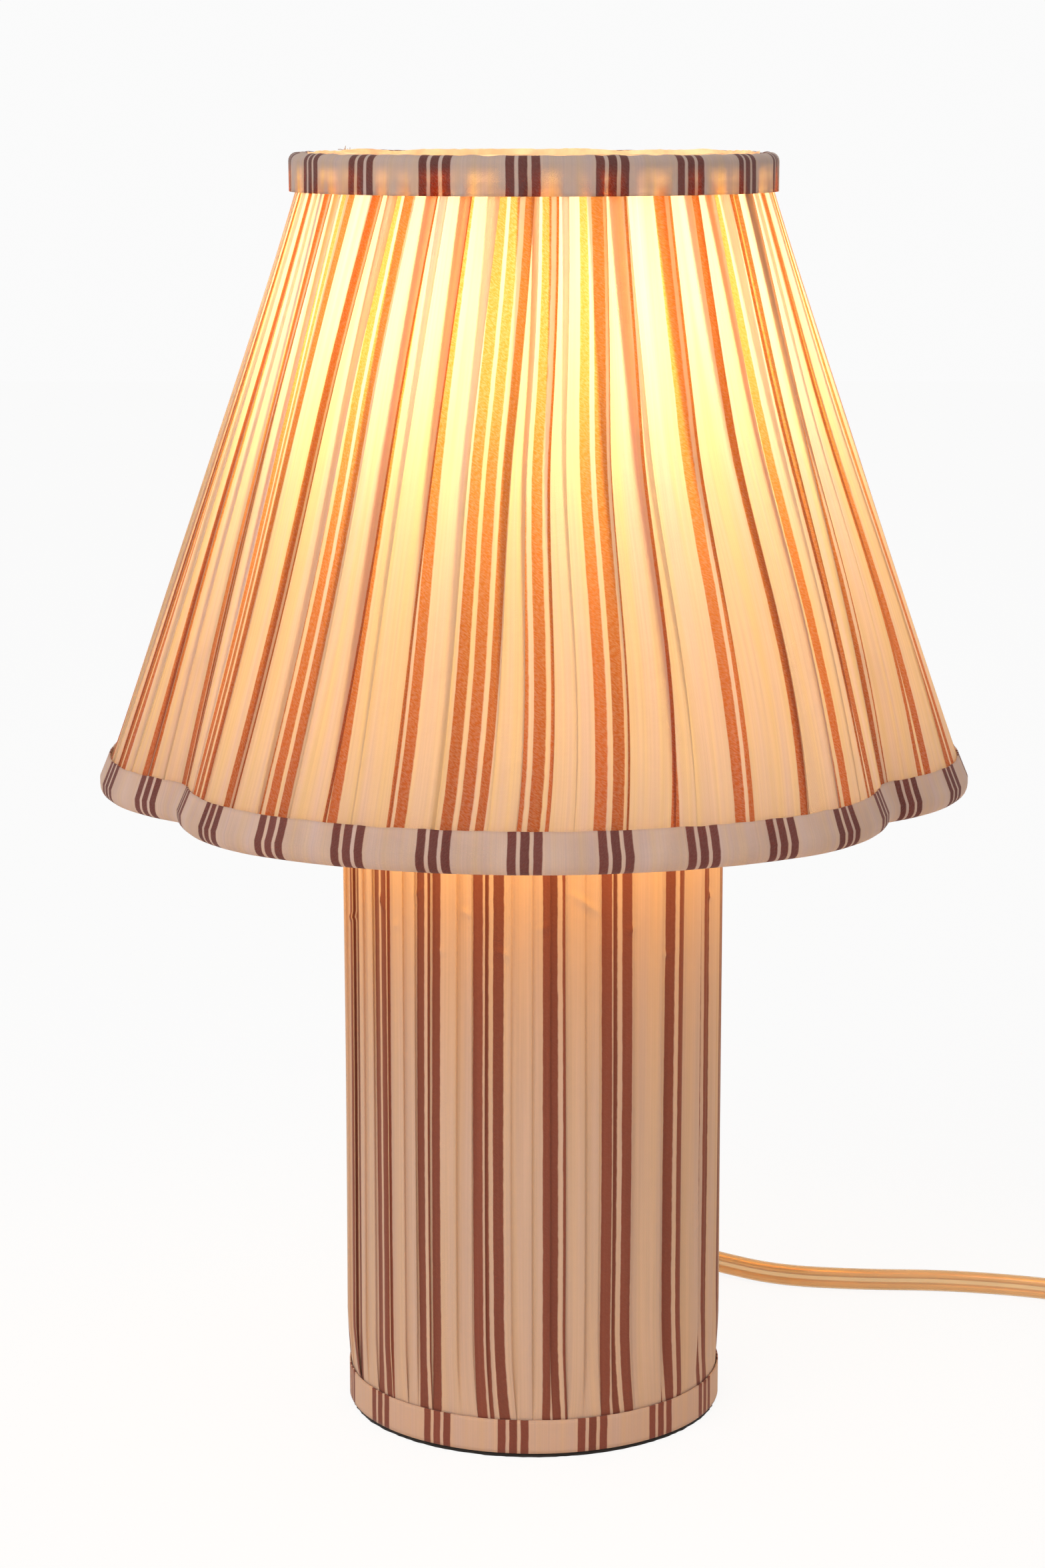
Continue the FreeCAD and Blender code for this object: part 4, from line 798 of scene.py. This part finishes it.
def makePlug():
    form = plugForm
    neck, edge, power = form["neckLength"], form["edge"], 2 / form["squareness"]
    rows = []
    for number in range(round(form["length"] / form["step"]) + 1):
        along = number * form["step"]
        opened = clamped((along - neck) / (form["shoulder"] - neck))
        opened = opened * opened * (3.0 - 2.0 * opened)
        rounding = max(edge - min(along, form["length"] - along), 0.0) / edge
        pulledIn = edge * (1.0 - math.sqrt(1.0 - rounding * rounding))
        if along < neck:
            pulledIn += form["rib"] * (0.5 - 0.5 * math.cos(2 * math.pi * form["ribs"] * along / neck))
        half = (form["neckWidth"] + (form["width"] - form["neckWidth"]) * opened) / 2 - pulledIn
        deep = (form["neckThickness"] + (form["thickness"] - form["neckThickness"]) * opened) / 2 - pulledIn
        row = []
        for spot in ringOf(1.0, form["points"]):
            across, up = [math.copysign(abs(value) ** power, value) for value in spot.xy]
            row.append(plugSpot(half * across, along, deep * up))
        rows.append(row)
    plug = closeEnds(gridPiece("plugShell", rows))
    pieces = [settle(plug, "lamp", "clear_plastic", finish["amber"], "plug_body")]
    for number, side in ((1, -1), (2, 1)):
        rows = []
        for past, radius in form["sleeve"]:
            rows.append([plugSpot(side * form["pinSpacing"] / 2 + spot.x, form["length"] + past, spot.y)
                         for spot in ringOf(radius, form["sleeveSteps"])])
        sleeve = closeEnds(gridPiece(f"pinSleeve.{number}", rows))
        pieces.append(settle(sleeve, "lamp", "clear_plastic", finish["rocker"]))
    return pieces


onLead = [coilStrap, *leadCores, *makePlug()] + [frame["nodes"][name] for name in (
    "switch_base", "switch_cover", "switch_rocker", "rocker_pin", "switch_screws", "switch_terminals",
    "plug_pin_left", "plug_pin_right")]
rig.cord(lead, exit=leadLine[0], length=leadForm["length"], diameter=leadForm["width"], far_end="plug",
        stiffness="medium", lay="coiled", path=leadLine, with_pieces=onLead)

# Lead inside the column, up to the lampholder
innerForm = {"route": [(0, 48.6, 19.2), (0, 23.4, 19.2), (0, 0, 42.6), (0, 0, 100), (0, 0, 229.7)],
             "side": (-1, 0, 0)}
innerLine = splinePoints(innerForm["route"])
innerLead = carryAlong("innerLead", innerLine, twinSection(), Vector(innerForm["side"]))
settle(innerLead, "lamp", "clear_lead", finish["jacket"], "inner_flex")
print("strap, plug and inner lead made")


# Outline of the shade's bottom edge: tangent arcs for three lobes and the notches between them

shadeForm = {
    "lobes": 3, "firstLobe": -90.0, "lobeRadius": 120.6 * mm, "lobeSpread": 35.0, "lobeEndRadius": 57.7 * mm,
    "notchRadius": 14.3 * mm, "topRadius": 66.4 * mm, "ringWire": 1.6 * mm,
}


# Each arc is (middle, radius, first angle, sweep), anticlockwise round the shade; a notch sweeps backwards
def lobeOutline(offset):
    form = shadeForm
    half, spread = 180.0 / form["lobes"], form["lobeSpread"]
    reach = form["lobeRadius"] - form["lobeEndRadius"]
    span = form["lobeEndRadius"] + form["notchRadius"]
    along = reach * math.cos(math.radians(half - spread))
    notchReach = along + math.sqrt(along * along - reach * reach + span * span)
    toNotch = polar(notchReach, half) - polar(reach, spread)
    toward = math.degrees(math.atan2(toNotch.y, toNotch.x))
    bend, tuck = toward - spread, toward - half
    endRadius, notchRadius = form["lobeEndRadius"] + offset, form["notchRadius"] - offset
    arcs = []
    for lobe in range(form["lobes"]):
        middle = form["firstLobe"] + 2 * half * lobe
        arcs += [
            (polar(reach, middle - spread), endRadius, middle - spread - bend, bend),
            (Vector((0, 0, 0)), form["lobeRadius"] + offset, middle - spread, 2 * spread),
            (polar(reach, middle + spread), endRadius, middle + spread, bend),
            (polar(notchReach, middle + half), notchRadius, middle + half + 180.0 + tuck, -2 * tuck),
        ]
    starts, length = [], 0.0
    for arc in arcs:
        starts.append(length)
        length += arc[1] * math.radians(abs(arc[3]))
    return arcs, starts, length


# Point and outward direction at a share of the way round an outline
def outlineSpot(outline, share):
    arcs, starts, length = outline
    travelled = (share % 1.0) * length
    number = bisect_right(starts, travelled) - 1
    middle, radius, first, sweep = arcs[number]
    turned = math.degrees((travelled - starts[number]) / radius)
    outward = polar(1.0, first + math.copysign(turned, sweep))
    spot = middle + outward * radius
    return spot, outward if sweep > 0 else -outward


ringOutline = lobeOutline(0.0)
frontLength = ringOutline[1][1] + shadeForm["lobeRadius"] * math.radians(shadeForm["lobeSpread"])
frontShare = frontLength / ringOutline[2]
shareStart = shadeForm["firstLobe"] - 360.0 * frontShare  # polar angle at the top where the outline starts


# Cloth gathered into tucks: each tuck swings out and back along its own width, so a tighter row stands up
# more, and all tucks lean the same way, as far as the room for them asks

gathers = {"leastSteps": 8, "mostShare": 0.97, "wanderStep": 3.7, "closingStep": 5.3, "closingPlace": 0.4,
           "rippleTurns": 1.4, "ripplePlace": 0.5}


def clothWidth(cloth):
    return cloth["repeats"] * stripeCloth["repeat"] * mm


def cutTucks(cloth):
    draw = random.Random(cloth["seed"])
    whole = clothWidth(cloth)
    spread = cloth["mostTuck"] - cloth["leastTuck"]
    tucks = []
    while sum(tucks) < whole:
        tucks.append(cloth["leastTuck"] + spread * draw.random() ** cloth["bias"])
    return [width * whole / sum(tucks) for width in tucks]


def gatherRow(cloth, tucks, counts, level, around, depth, drawn=0.0):
    seed = cloth["seed"]
    loose = []
    for number, width in enumerate(tucks):
        eased = noise.noise((number * gathers["wanderStep"], level * cloth["wanderTurns"], seed))
        closing = noise.noise((number * gathers["closingStep"], gathers["closingPlace"], seed))
        loose.append(width * (1.0 + cloth["wander"] * eased + drawn * (-1) ** number * abs(closing)))
    fit = around / sum(loose)
    curves, tallest = [], 0.0
    for width, slack, steps in zip(tucks, loose, counts):
        share = min(slack * fit / width, gathers["mostShare"])
        swing = 2.0 * math.sqrt(2.0 * (1.0 - math.sqrt(share)))
        across, out = [0.0], [0.0]
        for step in range(steps):
            heading = swing * math.sin(2 * math.pi * (step + 0.5) / steps)
            across.append(across[-1] + math.cos(heading))
            out.append(out[-1] + math.sin(heading))
        stretch, unit = slack * fit / across[-1], width / steps
        curves.append(([a * stretch for a in across[:-1]], [o * unit for o in out[:-1]], slack * fit))
        tallest = max(tallest, max(out) * unit)
    flat = min(1.0, depth / tallest)
    lean = math.sqrt(1.0 - flat * flat)
    ripple = cloth["ripple"] * min(depth / mm, 1.0)
    row, start, used = [], 0.0, 0.0
    for (across, out, taken), width in zip(curves, tucks):
        for step, (a, o) in enumerate(zip(across, out)):
            place = (used + width * step / len(out)) / cloth["rippleWidth"]
            rippled = noise.noise((place, level * gathers["rippleTurns"], seed + gathers["ripplePlace"]))
            row.append(((start + a + o * lean) / around, o * flat + ripple * rippled))
        start += taken
        used += width
    return row


def gatherCloth(name, cloth, levels, aroundAt, depthAt, spotAt, front, drawnAt=lambda level: 0.0):
    tucks = cutTucks(cloth)
    counts = [max(gathers["leastSteps"], math.ceil(width / cloth["grain"])) for width in tucks]

    def rowAt(level, drawn):
        return gatherRow(cloth, tucks, counts, level, aroundAt(level), depthAt(level), drawn)

    even = rowAt(levels[0], 0.0)
    repeat = stripeCloth["repeat"] * mm
    along, used = [], 0.0
    for width, steps in zip(tucks, counts):
        along += [(used + width * step / steps) / repeat for step in range(steps)]
        used += width
    nearest = min(range(len(along)), key=lambda column: abs(even[column][0] - front))
    shift = groupMiddle - along[nearest] + cloth["stripeShift"]
    along.append(used / repeat)
    grid = [[spotAt(share, level, stand) for share, stand in rowAt(level, drawnAt(level))]
            for level in levels]

    def mapAt(row, column):
        return along[column] + shift, levels[row] * cloth["cutLength"]

    return gridPiece(name, grid, mapAt)


# Raw edge of the cover, turned in over the top wire and a little proud of the tape
rawEdgeForm = {"inside": 2.75 * mm, "below": 3.0 * mm, "above": 2.7 * mm, "rows": 7, "columns": 480,
               "lean": 0.5 * mm, "leanTurns": 14.0, "sway": 0.7 * mm, "swayTurns": 4.0,
               "fray": 0.22 * mm, "frayTurns": 30.0}


def makeRawEdge():
    form = rawEdgeForm
    foot = middleHeight("shade_top_ring") - form["below"]
    radius, tall = shadeForm["topRadius"] - form["inside"], form["below"] + form["above"]
    rows = [[] for _ in range(form["rows"])]
    for column in range(form["columns"]):
        turn = 360.0 * column / form["columns"]
        torn = sum(form[kind] * ringNoise(form[kind + "Turns"], turn) for kind in ("sway", "fray"))
        lean = form["lean"] * (ringNoise(form["leanTurns"], turn) - 0.5)
        for number, row in enumerate(rows):
            level = number / (form["rows"] - 1)
            spot = polar(radius + level * lean, turn)
            spot.z = foot + level * (tall + torn)
            row.append(spot)
    return settle(gridPiece("rawEdge", rows), "shade", "striped_cloth", finish["rawEdge"])


shadeCloth = {"repeats": 43, "seed": 11, "leastTuck": 7.0 * mm, "mostTuck": 22.0 * mm, "bias": 1.2,
              "wander": 0.3, "wanderTurns": 1.6, "ripple": 0.14 * mm, "rippleWidth": 2.2 * mm,
              "grain": 0.62 * mm, "rows": 30, "stripeShift": 0.0,
              "overWire": 1.1 * mm, "footGap": 0.4 * mm, "headGap": 0.2 * mm,
              "lowDepth": 0.7 * mm, "midDepth": 2.4 * mm, "highDepth": 1.4 * mm, "sag": 2.4 * mm,
              "topInset": 0.7 * mm, "cutLength": 0.19}


def makeShadeCover():
    cloth, form = shadeCloth, shadeForm
    coverLow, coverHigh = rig.box("shade_cover")
    foot, head = coverLow.z + cloth["footGap"], coverHigh.z - cloth["headGap"]
    low = lobeOutline(form["ringWire"] + cloth["overWire"])
    topRadius = form["topRadius"] - cloth["topInset"]

    def spotAt(share, level, stand):
        below, belowOut = outlineSpot(low, share)
        angle = shareStart + 360.0 * share
        topOut = polar(1.0, angle)
        outward = belowOut.lerp(topOut, level).normalized()
        fromLobe = math.radians((angle - form["firstLobe"]) * form["lobes"] / 2)
        sag = cloth["sag"] * 4 * level * (1 - level) * abs(math.cos(fromLobe))
        spot = below.lerp(topOut * topRadius, level) + outward * stand - topOut * sag
        return Vector((spot.x, spot.y, foot + (head - foot) * level))

    def depthAt(level):
        ends = cloth["lowDepth"] * (1 - level) + cloth["highDepth"] * level
        return ends + (cloth["midDepth"] - ends) * math.sin(math.pi * level)

    def aroundAt(level):
        return low[2] * (1 - level) + 2 * math.pi * topRadius * level

    levels = [number / (cloth["rows"] - 1) for number in range(cloth["rows"])]
    cover = gatherCloth("shadeCover", cloth, levels, aroundAt, depthAt, spotAt, frontShare)
    settle(cover, "shade", "striped_cloth", finish["shade"], "shade_cover")
    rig.sheet(cover, flat=(clothWidth(cloth), cloth["cutLength"]), held="gathered",
             rests_on=["shade_bottom_ring", "shade_top_ring"], with_pieces=[makeRawEdge()])
    return cover


shadeCover = makeShadeCover()
print("shade cover made:", len(shadeCover.data.polygons), "faces")


columnCloth = {"repeats": 19, "seed": 4, "leastTuck": 5.0 * mm, "mostTuck": 14.0 * mm, "bias": 1.3,
               "wander": 0.22, "wanderTurns": 1.1, "ripple": 0.12 * mm, "rippleWidth": 2.4 * mm,
               "grain": 0.6 * mm, "row": 4.5 * mm, "leastRow": 0.3, "rowLength": 30.0 * mm,
               "stripeShift": 0.02, "front": 6.0, "cutLength": 0.2,
               "overTube": 0.25 * mm, "footGap": 0.1 * mm, "headGap": 0.2 * mm,
               "depth": 1.9 * mm, "pinched": 0.2 * mm, "pinchLength": 16.0 * mm, "pinchPower": 0.55,
               "drawn": 0.95, "drawnLength": 30.0 * mm,
               "creaseFrom": 138.0 * mm, "creaseTo": 172.0 * mm, "creaseRow": 0.9 * mm,
               "creaseWidth": 0.75 * mm, "creaseReach": 3.0,
               "creases": [  # degrees from the front, height and half length in mm, slant, depth in mm
                   (15.0, 161.5, 6.0, -38.0, 0.55), (-51.0, 158.0, 3.2, -60.0, 0.5),
                   (-20.0, 158.5, 2.2, -20.0, 0.45), (-9.0, 147.5, 2.4, -28.0, 0.4),
                   (-45.0, 152.0, 1.8, 30.0, 0.4), (43.0, 144.0, 1.8, 10.0, 0.35),
                   (30.0, 153.0, 2.6, 15.0, 0.35), (-28.0, 147.0, 1.6, -40.0, 0.35),
                   (3.0, 155.0, 3.0, 25.0, 0.3), (-36.0, 163.0, 2.5, 40.0, 0.35),
                   (66.0, 157.0, 3.0, -30.0, 0.45), (-70.0, 150.0, 2.4, 20.0, 0.4),
                   (110.0, 156.0, 3.6, 35.0, 0.5), (150.0, 149.0, 2.4, -20.0, 0.4),
                   (-120.0, 160.0, 4.0, -45.0, 0.5), (-155.0, 152.0, 2.6, 25.0, 0.4)]}


def makeColumnCover():
    cloth = columnCloth
    coverLow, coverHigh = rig.box("column_cover")
    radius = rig.box("column_tube")[1].x + cloth["overTube"]
    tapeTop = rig.box("column_trim")[1].z
    foot, head = coverLow.z + cloth["footGap"], coverHigh.z - cloth["headGap"]

    def heightAt(level):
        return foot + (head - foot) * level

    def creaseLift(turned, height):
        lift = 0.0
        for place, crest, half, slant, depth in cloth["creases"]:
            apart = math.radians((turned - place + 180.0) % 360.0 - 180.0) * radius
            rise = height - crest * mm
            lean = math.radians(slant)
            along = (apart * math.cos(lean) + rise * math.sin(lean)) / (half * mm)
            off = (rise * math.cos(lean) - apart * math.sin(lean)) / cloth["creaseWidth"]
            if abs(along) < 1.0 and abs(off) < cloth["creaseReach"]:
                lift += depth * mm * (1.0 - along * along) * math.exp(-off * off)
        return lift

    def spotAt(share, level, stand):
        turned, height = 360.0 * share, heightAt(level)
        spot = polar(radius + stand + creaseLift(turned, height), turned - 90.0)
        return Vector((spot.x, spot.y, height))

    def depthAt(level):
        opened = clamped((heightAt(level) - tapeTop) / cloth["pinchLength"])
        return cloth["pinched"] + (cloth["depth"] - cloth["pinched"]) * opened ** cloth["pinchPower"]

    def drawnAt(level):  # tucks that close or open towards the foot tape
        return cloth["drawn"] * clamped(1.0 - (heightAt(level) - tapeTop) / cloth["drawnLength"]) ** 2

    heights = [foot, (foot + tapeTop) / 2, tapeTop]
    while heights[-1] < head - cloth["row"]:
        creased = cloth["creaseFrom"] < heights[-1] < cloth["creaseTo"]
        opening = min(1.0, cloth["leastRow"] + (heights[-1] - tapeTop) / cloth["rowLength"])
        heights.append(heights[-1] + (cloth["creaseRow"] if creased else cloth["row"] * opening))
    levels = [(height - foot) / (head - foot) for height in heights + [head]]
    cover = gatherCloth("columnCover", cloth, levels, lambda level: 2 * math.pi * radius, depthAt, spotAt,
                        cloth["front"] / 360.0, drawnAt)
    settle(cover, "lamp", "striped_cloth", finish["column"], "column_cover")
    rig.sheet(cover, flat=(clothWidth(cloth), cloth["cutLength"]), held="gathered", rests_on=["column_tube"])
    return cover


columnCover = makeColumnCover()
print("column cover made:", len(columnCover.data.polygons), "faces")


# Tapes of the same cloth, each a ribbon carried round a closed outline

bottomTape = {"name": "shadeBottomTape", "body": "shade", "node": "shade_bottom_trim", "finish": "tape",
              "held": "folded", "restsOn": ["shade_bottom_ring", "shadeCover"],
              "thickness": 0.5 * mm, "columns": 520, "leafSteps": 6, "rollSteps": 12,
              "ripple": 0.16 * mm, "ripples": 14.0, "edgeWave": 0.03, "sway": 0.12 * mm,
              "outside": 4.3 * mm, "inside": -2.2 * mm, "rise": 6.4 * mm, "slope": 0.42, "hang": 1.5 * mm,
              "innerLeaf": [(-2.15, 0.9), (-1.75, 1.9), (-1.0, 3.2), (0.0, 5.0)],  # mm across and up
              "cutWidth": 0.0248, "front": -2.4 * mm}
topTape = {"name": "shadeTopTape", "body": "shade", "node": "shade_top_trim", "finish": "topTape",
           "held": "folded", "restsOn": ["shade_top_ring", "shadeCover"],
           "thickness": 0.5 * mm, "columns": 320, "leafSteps": 7, "rollSteps": 12,
           "ripple": 0.14 * mm, "ripples": 9.0, "edgeWave": 0.04, "sway": 0.3 * mm,
           "roll": 2.2 * mm, "drop": 8.2 * mm, "insideDrop": 1.0 * mm, "cutWidth": 0.0161, "front": -2.9 * mm}
footTape = {"name": "footTape", "body": "lamp", "node": "column_trim", "finish": "footTape",
            "held": "stretched", "restsOn": ["column_tube", "columnCover"],
            "thickness": 0.45 * mm, "columns": 260, "leafSteps": 8,
            "ripple": 0.05 * mm, "ripples": 8.0, "edgeWave": 0.012, "sway": 0.0,
            "inset": 0.3 * mm, "footGap": 0.1 * mm, "cutWidth": 0.01, "front": -6.0 * mm}
tapeWaves = {"edgeTurns": 1.6, "edgePlace": 9.0, "risePerMetre": 60.0}


def makeTape(tape, line, pathAt, around, start=0.0):
    loop = thickLoop(line, tape["thickness"])
    columns, ripples = tape["columns"], tape["ripples"]
    rows = []
    for across, up in loop:
        row = []
        for column in range(columns):
            turn = 360.0 * column / columns
            spot, outward, height = pathAt(column / columns)
            edge = ringNoise(ripples * tapeWaves["edgeTurns"], turn, tapeWaves["edgePlace"])
            out = across + tape["ripple"] * ringNoise(ripples, turn, up * tapeWaves["risePerMetre"])
            lift = up * (1.0 + tape["edgeWave"] * edge) + tape["sway"] * edge
            row.append(Vector((spot.x + outward.x * out, spot.y + outward.y * out, height + lift)))
        rows.append(row)
    repeats = round(around / (stripeCloth["repeat"] * mm))
    shift = groupMiddle - (start + tape["front"] / around) * repeats
    travelled = [0.0]
    for before, after in zip(loop, loop[1:] + loop[:1]):
        travelled.append(travelled[-1] + math.hypot(after[0] - before[0], after[1] - before[1]))
    fromEdge = [min(place, travelled[-1] - place) for place in travelled]  # alike on both faces of the ribbon

    def mapAt(row, column):
        return column / columns * repeats + shift, fromEdge[row]

    piece = gridPiece(tape["name"], rows, mapAt, closedRows=True)
    settle(piece, tape["body"], "striped_cloth", finish[tape["finish"]], tape["node"])
    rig.sheet(piece, flat=(around, tape["cutWidth"]), held=tape["held"], rests_on=tape["restsOn"])


def arcPoints(middle, radius, first, last, steps):
    spots = [polar(radius, first + (last - first) * step / steps) for step in range(steps + 1)]
    return [(middle + spot.x, spot.y) for spot in spots]


def straight(start, end, steps):
    return [(start[0] + (end[0] - start[0]) * step / steps, start[1] + (end[1] - start[1]) * step / steps)
            for step in range(steps)]


def makeBottomTape():
    tape, height = bottomTape, middleHeight("shade_bottom_ring")
    outside, inside = tape["outside"], tape["inside"]
    roll = arcPoints((outside + inside) / 2, (outside - inside) / 2, 0.0, -180.0, tape["rollSteps"])
    line = straight((outside - tape["slope"] * tape["rise"], tape["rise"]), (outside, 0.0), tape["leafSteps"])
    line += [(outside, 0.0)] + [(across, up - tape["hang"]) for across, up in roll]
    line += [(inside, 0.0)] + [(across * mm, up * mm) for across, up in tape["innerLeaf"]]
    makeTape(tape, line, lambda share: (*outlineSpot(ringOutline, share), height), lobeOutline(outside)[2],
             frontShare)


def makeTopTape():
    tape, height, radius = topTape, middleHeight("shade_top_ring"), shadeForm["topRadius"]
    roll = tape["roll"]
    line = straight((roll, -tape["drop"]), (roll, 0.0), tape["leafSteps"])
    line += arcPoints(0.0, roll, 0.0, 180.0, tape["rollSteps"]) + [(-roll, -tape["insideDrop"])]

    def alongTop(share):
        outward = polar(1.0, shareStart + 360.0 * share)
        return outward * radius, outward, height

    makeTape(tape, line, alongTop, 2 * math.pi * (radius + roll), frontShare)


def makeFootTape():
    tape = footTape
    low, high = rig.box("column_trim")
    radius, top = high.x - tape["inset"], (0.0, high.z - low.z)

    def alongFoot(share):
        outward = polar(1.0, 360.0 * share - 90.0)
        return outward * radius, outward, low.z

    line = straight((0.0, tape["footGap"]), top, tape["leafSteps"]) + [top]
    makeTape(tape, line, alongFoot, 2 * math.pi * radius)


makeBottomTape()
makeTopTape()
makeFootTape()
print("tapes made")


# Felt pad under the column, cut by hand
feltForm = {"columns": 220, "fray": 0.35 * mm, "frayTurns": 26.0, "cutIn": 0.6, "inner": 0.5}


def makePad():
    form = feltForm
    low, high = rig.box("base_pad")
    rows = []
    for share, height in ((form["inner"], low.z), (1.0, low.z), (1.0, high.z), (form["inner"], high.z)):
        row = []
        for column in range(form["columns"]):
            turn = 360.0 * column / form["columns"]
            rough = form["fray"] * (ringNoise(form["frayTurns"], turn, height) - form["cutIn"])
            spot = polar(high.x * share + (rough if share == 1.0 else 0.0), turn)
            row.append(Vector((spot.x, spot.y, height)))
        rows.append(row)
    settle(closeEnds(gridPiece("feltPad", rows)), "lamp", "felt", finish["felt"], "base_pad")


makePad()


# Geometry Nodes: screw threads wound on a cylinder, and loose yarns along a raw edge

def nodeGroup(name, values):
    tree = bpy.data.node_groups.new(name, "GeometryNodeTree")
    tree.interface.new_socket("Geometry", in_out="OUTPUT", socket_type="NodeSocketGeometry")
    for label, value in values.items():
        kind = "NodeSocketInt" if isinstance(value, int) else "NodeSocketFloat"
        socket = tree.interface.new_socket(label, in_out="INPUT", socket_type=kind)
        socket.default_value = value
    return tree, tree.nodes.new("NodeGroupInput").outputs


# The shape is lifted to its height, made real and given its material
def dressed(tree, shape, height, material):
    lift = addNode(tree, "ShaderNodeCombineXYZ", {2: height})
    moved = addNode(tree, "GeometryNodeTransform", {"Geometry": shape, "Translation": lift.outputs[0]})
    real = addNode(tree, "GeometryNodeRealizeInstances", {0: moved.outputs[0]})
    done = addNode(tree, "GeometryNodeSetMaterial", {"Geometry": real.outputs[0], "Material": material})
    addNode(tree, "NodeGroupOutput", {0: done.outputs[0]})
    return tree


def swept(tree, curve, radius, points):
    ring = addNode(tree, "GeometryNodeCurvePrimitiveCircle", {"Resolution": points, "Radius": radius})
    tube = addNode(tree, "GeometryNodeCurveToMesh", {"Curve": curve, "Profile Curve": ring.outputs[0],
                                                     "Fill Caps": True})
    return tube.outputs[0]


def growPiece(name, tree, values):
    piece = bpy.data.objects.new(name, bpy.data.meshes.new(name + "Seed"))
    scene.collection.objects.link(piece)
    modifier = piece.modifiers.new("grow", "NODES")
    modifier.node_group = tree
    for item in tree.interface.items_tree:
        if item.in_out == "INPUT" and item.name in values:
            modifier[item.identifier] = values[item.name]
    bpy.context.view_layer.update()
    mesh = bpy.data.meshes.new_from_object(piece.evaluated_get(bpy.context.evaluated_depsgraph_get()))
    piece.modifiers.remove(modifier)
    piece.data = mesh
    mesh.name = name
    mesh.shade_smooth()
    return piece


threads = [
    {"name": "holderThread", "body": "lamp", "slot": "holder_plastic", "finish": "holder",
     "radius": 19.75 * mm, "pitch": 2.3 * mm, "ridge": 0.38 * mm, "from": 246.6 * mm, "to": 263.0 * mm},
    {"name": "bulbThread", "body": "bulb", "slot": "bulb_metal", "finish": "capMetal",
     "radius": 12.95 * mm, "pitch": 3.6 * mm, "ridge": 0.4 * mm, "from": 248.5 * mm, "to": 263.4 * mm},
]
threadSteps = {"turn": 48, "ridge": 8}


def threadTree(name, values, material):
    tree, given = nodeGroup(name, values)
    coil = addNode(tree, "GeometryNodeCurveSpiral", {
        "Resolution": threadSteps["turn"], "Rotations": given["Turns"], "Start Radius": given["Radius"],
        "End Radius": given["Radius"], "Height": given["Rise"]})
    ridge = swept(tree, coil.outputs[0], given["Ridge"], threadSteps["ridge"])
    return dressed(tree, ridge, given["Foot"], material)


def makeThreads():
    for form in threads:
        rise, material = form["to"] - form["from"], finish[form["finish"]]
        values = {"Radius": form["radius"], "Turns": rise / form["pitch"], "Rise": rise, "Foot": form["from"],
                  "Ridge": form["ridge"]}
        tree = threadTree(form["name"] + "Nodes", values, material)
        settle(growPiece(form["name"], tree, values), form["body"], form["slot"], material)


makeThreads()


yarnForm = {"tipAcross": 0.35, "bowAcross": -0.3, "bowUp": 0.6, "tilt": 0.9, "turn": 6.28,
            "least": 0.35, "most": 1.3, "edgeSteps": 64, "strandSteps": 4, "points": 5}
yarnSets = [
    {"name": "looseYarns", "inside": 2.3 * mm, "below": 0.9 * mm, "count": 150, "length": 2.0 * mm,
     "thick": 0.07 * mm, "seed": 5, "start": 0.0, "sweep": 358.0},
    {"name": "yarnTuft", "inside": 1.2 * mm, "below": -1.6 * mm, "count": 14, "length": 1.9 * mm,
     "thick": 0.09 * mm, "seed": 8, "start": 145.0, "sweep": 2.5},
]


def yarnValues(yarns):
    return {"Radius": shadeForm["topRadius"] - yarns["inside"],
            "Height": middleHeight("shade_top_ring") - yarns["below"],
            "Count": yarns["count"], "Seed": yarns["seed"],
            "Length": yarns["length"], "Thick": yarns["thick"],
            "Start": math.radians(yarns["start"]), "Sweep": math.radians(yarns["sweep"])}


def yarnTree(values, material):
    form = yarnForm
    tilt = form["tilt"]
    tree, given = nodeGroup("looseYarnNodes", values)
    arc = addNode(tree, "GeometryNodeCurveArc", {
        "Resolution": form["edgeSteps"], "Radius": given["Radius"], "Start Angle": given["Start"],
        "Sweep Angle": given["Sweep"]})
    edge = addNode(tree, "GeometryNodeCurveToPoints", {
        "Curve": arc.outputs[0], "Count": given["Count"]}, mode="COUNT")

    def ofLength(across, up):
        parts = {axis: maths(tree, "MULTIPLY", given["Length"], share)
                 for axis, share in ((0, across), (2, up))}
        return addNode(tree, "ShaderNodeCombineXYZ", parts).outputs[0]

    strand = addNode(tree, "GeometryNodeCurveQuadraticBezier", {
        "Resolution": form["strandSteps"], "Start": (0.0, 0.0, 0.0),
        "Middle": ofLength(form["bowAcross"], form["bowUp"]), "End": ofLength(form["tipAcross"], 1.0)})
    yarn = swept(tree, strand.outputs[0], given["Thick"], form["points"])
    turned = addNode(tree, "FunctionNodeRandomValue", {
        0: (-tilt, -tilt, 0.0), 1: (tilt, tilt, form["turn"]), "Seed": given["Seed"]},
        data_type="FLOAT_VECTOR")
    size = addNode(tree, "FunctionNodeRandomValue", {
        2: form["least"], 3: form["most"], "Seed": given["Seed"]}, data_type="FLOAT")
    spread = addNode(tree, "GeometryNodeInstanceOnPoints", {
        "Points": edge.outputs[0], "Instance": yarn, "Rotation": turned.outputs[0], "Scale": size.outputs[1]})
    return dressed(tree, spread.outputs[0], given["Height"], material)


def makeYarns():
    tree = yarnTree(yarnValues(yarnSets[0]), finish["yarn"])
    for yarns in yarnSets:
        settle(growPiece(yarns["name"], tree, yarnValues(yarns)), "shade", "striped_cloth", finish["yarn"])


makeYarns()
print("pad, threads and yarns made")

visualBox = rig.bounds()
with open("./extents.json", "w") as sizes:
    json.dump({"cad": [list(corner) for corner in cadBox], "visual": [list(corner) for corner in visualBox]}, sizes)
